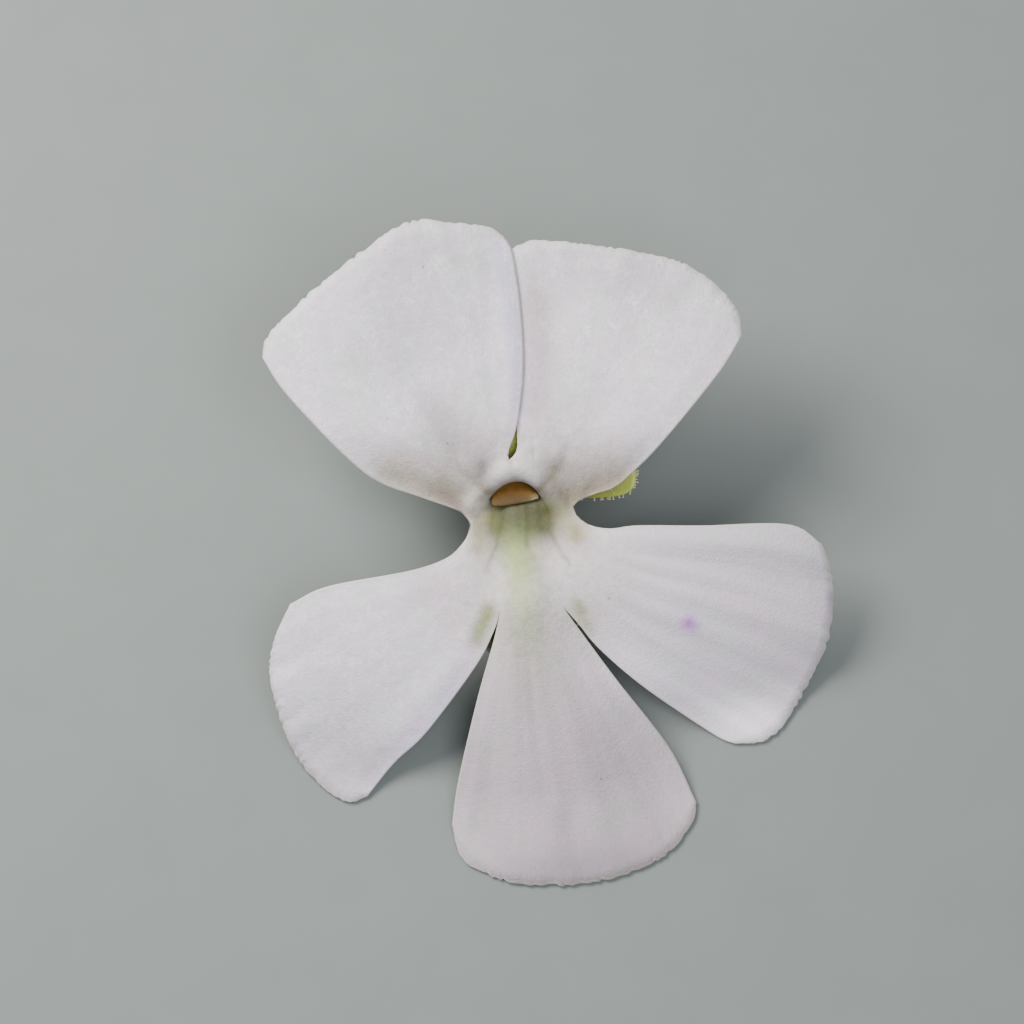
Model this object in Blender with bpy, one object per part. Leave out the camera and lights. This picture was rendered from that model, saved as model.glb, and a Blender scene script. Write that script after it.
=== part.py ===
"""A butterwort flower as picked, lying on its back with its face looking up.

The flower is drawn in its own face frame, in millimetres: x to the right and y up as one looks into the
flower, z out of the throat towards the eye, and the throat at the origin. laid() turns that frame into the
row frame, in metres with +Z up, where the flower leans on the tips of its three lower petals and on the bend
of its stalk. Every piece is built in place.
"""

import math

import bmesh
import bpy
import numpy as np
from mathutils import Vector

# ---- Driving dimensions: millimetres and degrees ----
MM = 0.001
LEAN = 16.0  # the face looks this far forward of straight up
THROAT_AT = Vector((-1.52, 2.275, 6.35))  # the throat's place over the middle of the footprint
PETAL_THICKNESS = 0.30
SEPAL_THICKNESS = 0.30
STALK_RADIUS = 0.45
MOUTH = Vector((-0.02, 0.40))  # middle of the throat's opening
MOUTH_HALF = Vector((1.45, 0.76))
LIMB_CENTRE = Vector((0.3, -1.2))  # the petals arch away from here

# ---- How finely the shapes are cut ----
COLUMNS = 12  # across one petal
SEAM_ROWS = 4  # from the mouth out to the notch between two petals
FREE_ROWS = 8  # from the notch to the petal's far margin
SMOOTHING_ROUNDS = 150

# ---- The petals' outlines ----
# A notch is where two petals part. Each margin runs from its notch to a corner of the petal, and each tip
# from the petal's first corner to its second, anticlockwise round the flower.
TOP_NOTCH = (-0.36, 1.6)
LEFT_WAIST = (-2.03, -1.12)
LEFT_CLEFT = (-0.65, -4.85)
RIGHT_CLEFT = (2.05, -4.75)
RIGHT_WAIST = (2.57, -0.30)

PETALS = [
    {
        "name": "upper_left",
        "mouth_angles": (92, 178),
        "margins": (
            [
                TOP_NOTCH, (-0.13, 2.35), (0.06, 3.3), (0.2, 4.5), (0.32, 6.0), (0.27, 7.7), (0.1, 9.5),
                (-0.2, 11.2), (-0.6, 11.85),
            ],
            [
                LEFT_WAIST, (-2.28, -0.72), (-2.72, -0.42), (-4.5, 0.2), (-6.15, 0.8), (-7.7, 2.0),
                (-10.35, 4.8), (-11.4, 6.4),
            ],
        ),
        "tip": [
            (-0.6, 11.85), (-1.3, 12.25), (-3.2, 12.45), (-4.3, 12.55), (-5.75, 12.0),
            (-8.65, 9.8), (-10.15, 8.45), (-11.2, 7.3), (-11.4, 6.4),
        ],
    },
    {
        "name": "left",
        "mouth_angles": (178, 245),
        "margins": (
            [
                LEFT_WAIST, (-2.17, -1.58), (-2.52, -2.1), (-3.2, -2.66), (-4.85, -3.2), (-8.5, -3.9),
                (-10.2, -4.7),
            ],
            [LEFT_CLEFT, (-0.95, -5.8), (-1.8, -7.45), (-4.05, -10.5), (-5.5, -11.9), (-6.75, -13.45)],
        ),
        "tip": [
            (-10.2, -4.7), (-10.95, -6.4), (-11.1, -8.2), (-10.25, -11.1), (-8.95, -12.9), (-7.65, -13.7),
            (-6.75, -13.45),
        ],
    },
    {
        "name": "lower",
        "mouth_angles": (245, 300),
        "margins": (
            [LEFT_CLEFT, (-1.0, -6.3), (-1.75, -9.0), (-2.6, -12.65), (-2.9, -14.7)],
            [RIGHT_CLEFT, (2.9, -5.9), (4.6, -8.2), (6.95, -11.25), (8.2, -13.75)],
        ),
        "tip": [
            (-2.9, -14.7), (-2.4, -16.3), (-0.7, -17.15), (1.2, -17.45), (3.95, -17.2), (6.6, -16.2),
            (7.95, -14.7), (8.2, -13.75),
        ],
    },
    {
        "name": "right",
        "mouth_angles": (300, 362),
        "margins": (
            [RIGHT_CLEFT, (2.75, -5.5), (3.8, -6.75), (5.9, -8.55), (9.05, -10.7), (10.0, -11.1)],
            [
                RIGHT_WAIST, (2.78, -0.74), (3.36, -1.16), (4.28, -1.3), (5.5, -1.15), (8.4, -1.15),
                (12.3, -1.1), (13.85, -2.0),
            ],
        ),
        "tip": [
            (10.0, -11.1), (11.3, -10.95), (12.45, -9.9), (14.1, -6.6), (14.4, -4.25), (14.15, -2.8),
            (13.85, -2.0),
        ],
    },
    {
        "name": "upper_right",
        "mouth_angles": (362, 452),
        "margins": (
            [
                RIGHT_WAIST, (2.85, -0.02), (3.53, 0.27), (4.4, 0.55), (5.2, 1.2), (6.65, 2.7), (9.1, 5.7),
                (10.15, 7.4),
            ],
            [TOP_NOTCH, (0.03, 2.35), (0.06, 3.3), (-0.3, 6.0), (-0.7, 8.5), (-0.7, 10.3)],
        ),
        "tip": [
            (10.15, 7.4), (9.95, 8.5), (8.9, 9.75), (7.3, 10.7), (5.0, 11.2), (2.8, 11.5), (0.9, 11.7),
            (-0.2, 11.3), (-0.7, 10.3),
        ],
    },
]

# Broad rolls: the line each runs along, its width and its height, greatest at the line's end
ROLLS = [
    ([(-6.2, 0.5), (-2.1, -0.8)], 1.50, -0.95),  # the upper petals roll back towards the waists
    ([(5.4, 0.9), (2.6, -0.3)], 1.40, -0.95),
    ([(3.6, -6.7), (6.2, -9.0), (9.8, -11.2)], 1.70, -1.10),  # the right petal's lower margin curls back
]

# How far a petal's far margin lies behind the throat plane, by its direction from the limb's middle
DROOP = [
    (0, -1.6), (42, -0.4), (73, 0.4), (107, 0.5), (147, -0.2), (185, -0.8), (211, -1.9), (238, -3.6),
    (257, -3.1), (280, -3.0), (301, -3.5), (318, -4.5), (345, -2.6), (360, -1.6),
]
DROOP_STARTS = 4.0
DROOP_REACH = 10.5
FLAT_BEND = 0.35  # how softly a petal turns to lie flat

# ---- The tube and spur behind the throat: centre, half width, half height ----
TUBE = [
    ((0.0, 0.22, -2.45), 1.56, 1.12),
    ((0.0, 0.00, -2.95), 1.56, 1.30),
    ((0.0, -0.25, -3.40), 1.50, 1.38),
    ((-0.05, -0.80, -3.92), 1.32, 1.18),
    ((-0.15, -1.65, -4.22), 1.10, 1.02),
    ((-0.28, -2.60, -4.28), 0.92, 0.90),
    ((-0.42, -3.60, -4.18), 0.82, 0.82),
    ((-0.56, -4.60, -3.96), 0.76, 0.76),
    ((-0.68, -5.50, -3.68), 0.72, 0.72),
    ((-0.78, -6.30, -3.36), 0.62, 0.62),
    ((-0.83, -6.75, -3.16), 0.40, 0.40),
]
SPUR_TIP = (-0.85, -6.95, -3.07)
BASE_HOLE = Vector((0.0, 0.30, -4.62))  # where the corolla's base is open round the ovary's foot
BASE_HOLE_RADIUS = 0.62

# ---- Calyx, stalk, pistil and stamens ----
RECEPTACLE = Vector((0.0, 0.50, -5.10))
RECEPTACLE_AXIS = Vector((0.0, -0.45, 0.89))
SEPALS = {  # where each leaves the receptacle, its width, and the line down its middle to the tip
    "sepal_upper_right": (
        12, 1.9, [(2.25, 1.0, -4.35), (3.3, 1.05, -3.1), (4.45, 1.1, -2.1), (5.4, 0.95, -1.5)],
    ),
    "sepal_upper_middle": (
        92, 2.0,
        [(0.0, 2.1, -3.8), (0.0, 1.95, -2.3), (0.0, 2.1, -1.3), (-0.05, 3.3, -0.65), (-0.1, 4.7, -0.6)],
    ),
    "sepal_upper_left": (
        163, 2.0, [(-2.2, 1.15, -4.4), (-3.1, 1.4, -3.1), (-4.2, 1.7, -2.1), (-5.1, 1.9, -1.4)],
    ),
    "sepal_lower_left": (
        222, 1.2, [(-1.75, -1.2, -4.9), (-2.0, -2.5, -3.95), (-2.0, -4.1, -2.65), (-1.9, -6.0, -1.6)],
    ),
    "sepal_lower_right": (
        320, 1.4, [(1.85, -1.1, -4.85), (2.2, -2.3, -3.9), (2.65, -3.8, -2.7), (3.05, -5.5, -1.6)],
    ),
}


def laid(point):
    """A point of the face frame, in millimetres, in the row frame, in metres."""
    x, y, z = point
    lean = math.radians(LEAN)
    turned = Vector((x, y * math.cos(lean) - z * math.sin(lean), y * math.sin(lean) + z * math.cos(lean)))
    return (turned + THROAT_AT) * MM


def smoothstep(low, high, value):
    share = min(1.0, max(0.0, (value - low) / (high - low)))
    return share * share * (3 - 2 * share)


def bump(distance, width):
    return math.exp(-((distance / width) ** 2))


def smooth_line(points, count):
    """count points, evenly spaced along a smooth curve that passes through the given ones."""
    knots = [Vector(p) for p in points]
    knots = [2 * knots[0] - knots[1], *knots, 2 * knots[-1] - knots[-2]]
    steps = 16
    line = [knots[1]]
    for before, start, end, after in zip(knots, knots[1:], knots[2:], knots[3:]):
        for step in range(1, steps + 1):
            t = step / steps
            line.append(
                0.5
                * (
                    2 * start
                    + (end - before) * t
                    + (2 * before - 5 * start + 4 * end - after) * t**2
                    + (3 * start - before - 3 * end + after) * t**3
                )
            )
    along = [0.0]
    for one, other in zip(line, line[1:]):
        along.append(along[-1] + (other - one).length)
    found = []
    k = 0
    for step in range(count):
        target = along[-1] * step / (count - 1)
        while k < len(line) - 2 and along[k + 1] < target:
            k += 1
        share = (target - along[k]) / (along[k + 1] - along[k])
        found.append(line[k].lerp(line[k + 1], min(1.0, share)))
    return found


def between(table, value):
    """Smoothly read value's place in a table of (key, number) rows."""
    for (low, first), (high, second) in zip(table, table[1:]):
        if value <= high:
            return first + (second - first) * smoothstep(low, high, value)
    return table[-1][1]


def mouth_point(angle):
    around = math.radians(angle)
    return MOUTH + Vector((MOUTH_HALF.x * math.cos(around), MOUTH_HALF.y * math.sin(around)))


def settle(plan, rounds):
    """Evens out a grid inside its fixed edges, with no fold where an edge is hollow."""
    for _ in range(rounds):
        across_by = (plan[1:-1, 2:] - plan[1:-1, :-2]) / 2
        along_by = (plan[2:, 1:-1] - plan[:-2, 1:-1]) / 2
        skew = (plan[2:, 2:] - plan[2:, :-2] - plan[:-2, 2:] + plan[:-2, :-2]) / 4
        a = (along_by**2).sum(2, keepdims=True)
        b = (across_by * along_by).sum(2, keepdims=True)
        c = (across_by**2).sum(2, keepdims=True)
        side_by_side = a * (plan[1:-1, 2:] + plan[1:-1, :-2])
        end_to_end = c * (plan[2:, 1:-1] + plan[:-2, 1:-1])
        plan[1:-1, 1:-1] = (side_by_side + end_to_end - 2 * b * skew) / (2 * (a + c) + 1e-9)


def petal_plan(petal):
    """The petal seen from the front: rows of points from the mouth to the far margin."""
    start, end = petal["mouth_angles"]
    foot = [mouth_point(start + (end - start) * i / COLUMNS) for i in range(COLUMNS + 1)]
    tip = smooth_line(petal["tip"], COLUMNS + 1)
    sides = []
    for margin, angle in zip(petal["margins"], petal["mouth_angles"]):
        seam = smooth_line([mouth_point(angle), margin[0]], SEAM_ROWS + 1)
        sides.append(seam[:-1] + smooth_line(margin, FREE_ROWS + 1))
    left, right = sides
    rows = len(left) - 1
    plan = np.empty((rows + 1, COLUMNS + 1, 2))
    for j in range(rows + 1):
        v = j / rows
        for i in range(COLUMNS + 1):
            u = i / COLUMNS
            across = left[j].lerp(right[j], u)
            along = foot[i].lerp(tip[i], v)
            corners = foot[0].lerp(foot[-1], u).lerp(tip[0].lerp(tip[-1], u), v)
            plan[j, i] = across + along - corners
    settle(plan, SMOOTHING_ROUNDS)
    return plan


def from_line(x, y, points):
    """How far a point lies from a line of points, and its place along the line from 0 to 1."""
    here = Vector((x, y))
    nearest, place = 1e9, 0.0
    for number, (start, end) in enumerate(zip(points, points[1:])):
        run, off = Vector(end) - Vector(start), here - Vector(start)
        share = min(1.0, max(0.0, off.dot(run) / run.length_squared))
        apart = (off - run * share).length
        if apart < nearest:
            nearest, place = apart, (number + share) / (len(points) - 1)
    return nearest, place


def limb_height(x, y, petal):
    """How far the middle of the limb's thickness stands in front of the throat plane."""
    out = Vector((x, y)) - LIMB_CENTRE
    direction = math.degrees(math.atan2(out.y, out.x)) % 360
    reach = max(0.0, out.length - DROOP_STARTS) / DROOP_REACH
    height = between(DROOP, direction) * reach**1.7
    height += 0.55 * smoothstep(0.6, 3.5, y)  # the upper lip stands forward

    # The throat: a channel that climbs slowly down to the lower petal and steeply up to the collar
    rim = y + 0.30 * (x / 1.15) ** 2
    floor = smoothstep(-5.5, -0.2, y) * (1 - smoothstep(0.75, 1.4, rim))
    height -= 1.75 * floor * math.exp(-abs(x / 1.6) ** 2.4)

    height += 0.42 * bump(rim - 1.45, 0.45) * bump(x, 1.5)  # collar over the mouth
    height += 0.55 * bump(y + 4.2, 1.5) * bump(x - 0.6, 1.1)  # palate at the foot of the lower petal
    for line, width, rise in ROLLS:
        apart, share = from_line(x, y, line)
        height += rise * bump(apart, width) * (0.35 + 0.65 * share)

    # The upper left petal's inner margin lies over its neighbour's
    over = smoothstep(1.8, 3.0, y) * bump(x, 2.6)
    if petal == "upper_left":
        height += 0.20 * over
    if petal == "upper_right":
        height -= 0.24 * over
    return height


def limb_point(x, y, petal):
    """The limb's point in the row frame. A petal that would dip into the surface lies flat on it."""
    lean = math.radians(LEAN)
    height = limb_height(x, y, petal)
    flat = (PETAL_THICKNESS / 2 - THROAT_AT.z - y * math.sin(lean)) / math.cos(lean)
    over = height - flat
    if over < -FLAT_BEND:
        height = flat
    elif over < FLAT_BEND:
        height = flat + (over + FLAT_BEND) ** 2 / (4 * FLAT_BEND)
    return laid((x, y, height))


def ring(centre, along, half_width, half_height, angles):
    """Points round an ellipse that faces along, in the face frame, from the given angles in degrees."""
    side = Vector((1, 0, 0))
    side = (side - along * side.dot(along)).normalized()
    up = side.cross(along)
    turns = [math.radians(a) for a in angles]
    return [Vector(centre) + side * half_width * math.cos(a) + up * half_height * math.sin(a) for a in turns]


def directions(centres):
    """The way a path runs at each of its points."""
    found = []
    for k in range(len(centres)):
        before, after = centres[max(0, k - 1)], centres[min(len(centres) - 1, k + 1)]
        found.append((Vector(after) - Vector(before)).normalized())
    return found


def material(name, colour, roughness):
    made = bpy.data.materials.new(name)
    made.use_nodes = True
    shader = made.node_tree.nodes["Principled BSDF"]
    shader.inputs["Base Color"].default_value = (*colour, 1)
    shader.inputs["Roughness"].default_value = roughness
    shader.inputs["Metallic"].default_value = 0
    return made


def add_object(name, mesh_builder, finish):
    mesh = bpy.data.meshes.new(name)
    mesh_builder.to_mesh(mesh)
    mesh_builder.free()
    mesh.materials.append(finish)
    mesh.shade_smooth()
    made = bpy.data.objects.new(name, mesh)
    bpy.context.scene.collection.objects.link(made)
    return made


def thicken(builder, thickness):
    """Gives a sheet its thickness, half to each side. What lies on the surface stays flat underneath."""
    bmesh.ops.recalc_face_normals(builder, faces=builder.faces)
    builder.normal_update()
    half = thickness / 2 * MM
    sheet = list(builder.verts)
    faces = list(builder.faces)
    rims = [(e.verts[0], e.verts[1], e.link_faces[0]) for e in builder.edges if e.is_boundary]
    upper = {v: builder.verts.new(v.co + v.normal * half) for v in sheet}
    lower = {v: builder.verts.new(v.co - v.normal * half) for v in sheet}
    for v in sheet:
        if v.co.z <= half * 1.0001:
            for twin in (upper[v], lower[v]):
                if twin.co.z < half:
                    twin.co.z = 0
    for face in faces:
        builder.faces.new([upper[v] for v in face.verts])
        builder.faces.new([lower[v] for v in reversed(face.verts)])
    for one, other, face in rims:
        loop = next(l for l in face.loops if {l.vert, l.link_loop_next.vert} == {one, other})
        one, other = loop.vert, loop.link_loop_next.vert
        builder.faces.new((upper[other], upper[one], lower[one], lower[other]))
    bmesh.ops.delete(builder, geom=sheet, context="VERTS")


def make_corolla(finish):
    """Five petals, the tube and the spur, grown as one sheet."""
    builder = bmesh.new()
    mouth_ring = []
    mouth_angles = []
    for petal in PETALS:
        plan = petal_plan(petal)
        rows = [[builder.verts.new(limb_point(*p, petal["name"])) for p in row] for row in plan]
        for low, high in zip(rows, rows[1:]):
            for i in range(COLUMNS):
                builder.faces.new((low[i], low[i + 1], high[i + 1], high[i]))
        start, end = petal["mouth_angles"]
        mouth_ring += rows[0][:-1]
        mouth_angles += [start + (end - start) * i / COLUMNS for i in range(COLUMNS)]

    inner = mouth_ring
    centres = [(MOUTH.x, MOUTH.y, -1.4)] + [c for c, _, _ in TUBE] + [SPUR_TIP]
    ways = directions(centres)
    count = len(mouth_ring)
    for (centre, half_width, half_height), way in zip(TUBE, ways[1:]):
        outer = [builder.verts.new(laid(p)) for p in ring(centre, way, half_width, half_height, mouth_angles)]
        for i in range(count):
            builder.faces.new((outer[i], outer[(i + 1) % count], inner[(i + 1) % count], inner[i]))
        inner = outer
    spur_tip = builder.verts.new(laid(SPUR_TIP))
    for i in range(count):
        builder.faces.new((spur_tip, inner[(i + 1) % count], inner[i]))

    bmesh.ops.remove_doubles(builder, verts=builder.verts, dist=0.01 * MM)
    open_base(builder)
    thicken(builder, PETAL_THICKNESS)
    return add_object("corolla", builder, finish)


def open_base(builder):
    """Opens the corolla's base round the ovary's foot, with a round rim."""
    middle = laid(BASE_HOLE)
    axis = (laid(RECEPTACLE_AXIS) - laid((0, 0, 0))).normalized()
    radius = BASE_HOLE_RADIUS * MM

    def from_axis(place):
        off = place - middle
        return off - axis * off.dot(axis), abs(off.dot(axis))

    gone = []
    for face in builder.faces:
        across, depth = from_axis(face.calc_center_median())
        if across.length < radius and depth < 0.8 * MM:
            gone.append(face)
    bmesh.ops.delete(builder, geom=gone, context="FACES")
    rim = [v for v in builder.verts if v.is_boundary and from_axis(v.co)[1] < 0.8 * MM]
    for vert in rim:
        across, _ = from_axis(vert.co)
        if across.length < 2 * radius:
            vert.co += across.normalized() * (radius - across.length)


def loft(name, stations, finish, sides=14):
    """A closed body through elliptical rings: each station is a centre, a half width and a half height."""
    builder = bmesh.new()
    centres = [s[0] for s in stations]
    angles = [360 * i / sides for i in range(sides)]
    last = None
    for (centre, half_width, half_height), way in zip(stations, directions(centres)):
        now = [builder.verts.new(laid(p)) for p in ring(centre, way, half_width, half_height, angles)]
        if last:
            for i in range(sides):
                builder.faces.new((last[i], last[(i + 1) % sides], now[(i + 1) % sides], now[i]))
        else:
            builder.faces.new(now)
        last = now
    builder.faces.new(last[::-1])
    bmesh.ops.recalc_face_normals(builder, faces=builder.faces)
    made = add_object(name, builder, finish)
    made.data.set_sharp_from_angle(angle=math.radians(60))
    return made


def make_sepal(name, direction, width, middle, finish):
    """A blunt green blade that cups the tube and then spreads behind the petals."""
    around = math.radians(direction)
    outward = Vector((math.cos(around), math.sin(around), 0))
    axis = RECEPTACLE_AXIS.normalized()
    outward = (outward - axis * outward.dot(axis)).normalized()
    upper_side = Vector((0, 0, 1)) - outward * 0.6  # the way the cupped side faces: forward and inward
    rows, columns = 13, 6
    line = smooth_line([RECEPTACLE + outward * 0.98, *middle], rows)
    builder = bmesh.new()
    grid = []
    for j, (place, way) in enumerate(zip(line, directions(line))):
        v = j / (rows - 1)
        lift = upper_side - way * way.dot(upper_side)
        across = way.cross(lift).normalized()
        inward = across.cross(way)
        half = width / 2 * (0.38 + 0.62 * smoothstep(0.0, 0.6, v))
        half *= math.sqrt(1 - 0.85 * max(0.0, (v - 0.6) / 0.4) ** 2.5)
        row = []
        for i in range(columns + 1):
            u = 2 * i / columns - 1
            point = place + across * half * u + inward * 0.22 * half * u * u
            row.append(builder.verts.new(laid(point)))
        grid.append(row)
    for low, high in zip(grid, grid[1:]):
        for i in range(columns):
            builder.faces.new((low[i], low[i + 1], high[i + 1], high[i]))
    thicken(builder, SEPAL_THICKNESS)
    return add_object(name, builder, finish)


def stalk_stations():
    """The receptacle, the bend behind the calyx, and the stretch that lies on the surface to the cut end."""
    lean = math.radians(LEAN)
    rest = (STALK_RADIUS - THROAT_AT.z) / math.cos(lean)  # face-frame height of a resting axis at y = 0
    stations = [
        (RECEPTACLE - RECEPTACLE_AXIS * -0.02, 0.45, 0.45),
        (RECEPTACLE - RECEPTACLE_AXIS * 0.10, 0.68, 0.68),
        (RECEPTACLE - RECEPTACLE_AXIS * 0.38, 0.66, 0.66),
        (RECEPTACLE - RECEPTACLE_AXIS * 0.62, 0.50, 0.50),
    ]
    route = [
        (0.02, 0.92, -5.95),
        (0.12, 1.32, -6.30),
        (0.30, 1.22, rest - 1.22 * math.tan(lean) + 0.04),
    ]
    for x, y in ((0.5, 0.4), (0.78, -1.0), (1.2, -3.5), (1.65, -6.0), (1.95, -8.5), (2.05, -10.5)):
        route.append((x, y, rest - y * math.tan(lean)))
    for place in smooth_line(route, 24):
        stations.append((place, STALK_RADIUS, STALK_RADIUS))
    return stations


def main():
    for old in list(bpy.data.objects):
        bpy.data.objects.remove(old)

    petal_white = material("petal white", (0.62, 0.60, 0.64), 0.6)
    sepal_green = material("sepal green", (0.30, 0.32, 0.10), 0.5)
    stalk_green = material("stalk green", (0.26, 0.30, 0.09), 0.5)
    stigma_brown = material("stigma brown", (0.22, 0.11, 0.04), 0.6)
    pollen_cream = material("pollen cream", (0.62, 0.52, 0.28), 0.7)

    make_corolla(petal_white)
    for name, (direction, width, middle) in SEPALS.items():
        make_sepal(name, direction, width, middle, sepal_green)
    loft("stalk", stalk_stations(), stalk_green)
    loft(
        "pistil",
        [
            ((0.0, 0.36, -4.78), 0.26, 0.26),
            ((0.0, 0.20, -4.46), 0.28, 0.28),
            ((0.0, -0.04, -4.14), 0.50, 0.46),
            ((0.0, -0.12, -3.72), 0.70, 0.66),
            ((0.0, 0.02, -3.27), 0.60, 0.56),
            ((0.0, 0.34, -2.88), 0.38, 0.32),
            ((0.0, 0.60, -2.52), 0.52, 0.24),
            ((0.0, 0.74, -2.12), 0.62, 0.17),
            ((-0.02, 0.72, -1.70), 0.84, 0.15),
            ((-0.03, 0.52, -1.32), 1.02, 0.14),
            ((-0.03, 0.20, -1.12), 1.06, 0.13),
            ((-0.03, -0.10, -1.10), 0.96, 0.10),
        ],
        stigma_brown,
    )
    for side, sign in (("left", -1), ("right", 1)):
        loft(
            f"stamen_{side}",
            [
                ((sign * 0.55, -0.98, -3.44), 0.12, 0.12),
                ((sign * 0.60, -0.96, -3.18), 0.13, 0.13),
                ((sign * 0.62, -0.80, -2.92), 0.13, 0.13),
                ((sign * 0.60, -0.52, -2.74), 0.19, 0.17),
                ((sign * 0.60, -0.26, -2.62), 0.22, 0.18),
                ((sign * 0.58, -0.06, -2.52), 0.15, 0.12),
            ],
            pollen_cream,
            sides=10,
        )


main()
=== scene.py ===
"""A butterwort flower as picked, laid on its back on a pale surface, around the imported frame."""

import math
import random

import bmesh
import bpy
import numpy as np
from mathutils import Matrix, Vector


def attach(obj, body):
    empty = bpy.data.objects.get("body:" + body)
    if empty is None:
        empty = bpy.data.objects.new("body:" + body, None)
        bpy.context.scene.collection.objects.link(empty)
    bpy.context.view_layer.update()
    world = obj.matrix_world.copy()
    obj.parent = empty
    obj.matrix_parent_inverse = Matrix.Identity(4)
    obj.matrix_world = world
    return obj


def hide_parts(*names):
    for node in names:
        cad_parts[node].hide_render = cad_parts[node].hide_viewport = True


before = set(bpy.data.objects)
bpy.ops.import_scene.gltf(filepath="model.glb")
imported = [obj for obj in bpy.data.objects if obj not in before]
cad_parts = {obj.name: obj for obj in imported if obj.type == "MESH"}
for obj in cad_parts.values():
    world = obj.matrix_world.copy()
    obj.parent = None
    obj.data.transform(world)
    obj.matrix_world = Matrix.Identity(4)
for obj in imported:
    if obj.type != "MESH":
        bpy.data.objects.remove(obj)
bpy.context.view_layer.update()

# ---- Surface, light and camera ----
# A plain pale matt table. A soft lamp stands a hand's breadth away at the upper left, so its light falls off
# across the flower; a second lamp and the room fill the shadows. The camera looks straight into the face.

# The flower is drawn in its own face frame, in millimetres: x right and y up as one looks into it, z out of
# the throat, with the throat at the origin. It leans back on its lower petals and the bend of its stalk.
MM = 0.001
LEAN = math.radians(16.0)
THROAT_AT = Vector((-1.52, 2.275, 6.35))


def laid(point):
    """A point of the face frame, in millimetres, in the row frame, in metres."""
    return (Matrix.Rotation(LEAN, 3, "X") @ Vector(point) + THROAT_AT) * MM


def linear(hex_code):
    """The linear colour of an sRGB hex value."""
    parts = [int(hex_code[i : i + 2], 16) / 255 for i in (1, 3, 5)]
    return (*(c / 12.92 if c <= 0.04045 else ((c + 0.055) / 1.055) ** 2.4 for c in parts), 1.0)


def add(tree, kind, settings=None, inputs=None):
    """Adds a node with its settings. An input is given a value, or the socket or node that feeds it.

    A Mix node's inputs go by place: 0 is the factor, 2 and 3 are numbers, 6 and 7 are colours.
    """
    node = tree.nodes.new(kind)
    for key, value in (settings or {}).items():
        setattr(node, key, value)
    for key, value in (inputs or {}).items():
        if isinstance(value, bpy.types.Node):
            value = next(socket for socket in value.outputs if socket.enabled)
        if isinstance(value, bpy.types.NodeSocket):
            tree.links.new(value, node.inputs[key])
        else:
            node.inputs[key].default_value = value
    return node


COLOURS = {"data_type": "RGBA"}  # what a Mix node mixes


def new_material(name, **values):
    """A material with its Principled shader's constant sockets set."""
    made = bpy.data.materials.new(name)
    made.use_nodes = True
    shader = made.node_tree.nodes["Principled BSDF"]
    for key, value in values.items():
        shader.inputs[key.replace("_", " ")].default_value = value
    return made, made.node_tree, shader


# Matt paint: a faint speckle, so that the table reads as a surface
table_paint, tree, shader = new_material("matt table paint", Roughness=0.9)
speckle = add(tree, "ShaderNodeTexNoise", inputs={"Scale": 900.0, "Detail": 3.0})
tone = add(tree, "ShaderNodeMix", COLOURS, {0: speckle, 6: linear("#6f7572"), 7: linear("#747a77")})
tree.links.new(tone.outputs[2], shader.inputs["Base Color"])

builder = bmesh.new()
bmesh.ops.create_grid(builder, x_segments=1, y_segments=1, size=1.5)
mesh = bpy.data.meshes.new("table_top")
builder.to_mesh(mesh)
builder.free()
mesh.materials.append(table_paint)
table_top = bpy.data.objects.new("table_top", mesh)
bpy.context.scene.collection.objects.link(table_top)

room = bpy.data.worlds.new("pale room")
room.use_nodes = True
room.node_tree.nodes["Background"].inputs["Color"].default_value = linear("#e9ecef")
room.node_tree.nodes["Background"].inputs["Strength"].default_value = 0.55
bpy.context.scene.world = room

LAMPS = [  # name, where, size, power, colour
    ("soft_key", (-0.062, 0.040, 0.095), 0.07, 0.28, "#fffdf8"),
    ("front_fill", (0.06, -0.10, 0.30), 0.20, 0.7, "#f6f8ff"),
]
for name, where, size, power, tint in LAMPS:
    lamp = bpy.data.lights.new(name, "AREA")
    lamp.shape = "DISK"
    lamp.size = size
    lamp.energy = power
    lamp.color = linear(tint)[:3]
    held = bpy.data.objects.new(name, lamp)
    held.location = where
    held.rotation_mode = "QUATERNION"
    held.rotation_quaternion = (-Vector(where)).to_track_quat("-Z", "Y")
    bpy.context.scene.collection.objects.link(held)

VIEW_CENTRE = (-0.18, -0.54, 0.0)  # face frame
VIEW_WIDTH = 46.08  # mm across the picture at the throat
lens = bpy.data.cameras.new("long_lens")
lens.sensor_width = 36.0
lens.lens = 200.0
lens.clip_start = 0.01
lens.clip_end = 5.0
camera = bpy.data.objects.new("camera", lens)
away = VIEW_WIDTH * lens.lens / lens.sensor_width
camera.location = laid((VIEW_CENTRE[0], VIEW_CENTRE[1], away))
camera.rotation_euler = (LEAN, 0, 0)
bpy.context.scene.collection.objects.link(camera)
bpy.context.scene.camera = camera

# ---- Corolla ----
# Five soft petals that grow together into one tube with a short spur. Each petal is a grid bent to its
# outline; the tube is drawn out of the mouth's edge ring by ring, and a Solidify gives the tissue its body.
PETAL_THICKNESS = 0.30
MOUTH = Vector((-0.02, 0.12))  # middle of the throat's opening, where it is widest
MOUTH_HALF_WIDTH = 1.28
MOUTH_TOP, MOUTH_BOTTOM = 0.86, 0.22  # how far it reaches up and down from there
LIMB_CENTRE = Vector((0.3, -1.2))  # the petals arch away from here
COLUMNS = 110  # across one petal
SEAM_ROWS = 16  # from the mouth out to the notch between two petals
FREE_ROWS = 34  # from the notch to the petal's far margin
ROWS = SEAM_ROWS + FREE_ROWS
SETTLING_ROUNDS = 900

# Where two petals part
TOP_NOTCH = (-0.28, 1.73)
LEFT_WAIST = (-2.03, -1.12)
LEFT_CLEFT = (-0.65, -4.85)
RIGHT_CLEFT = (2.05, -4.75)
RIGHT_WAIST = (2.57, -0.30)

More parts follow.
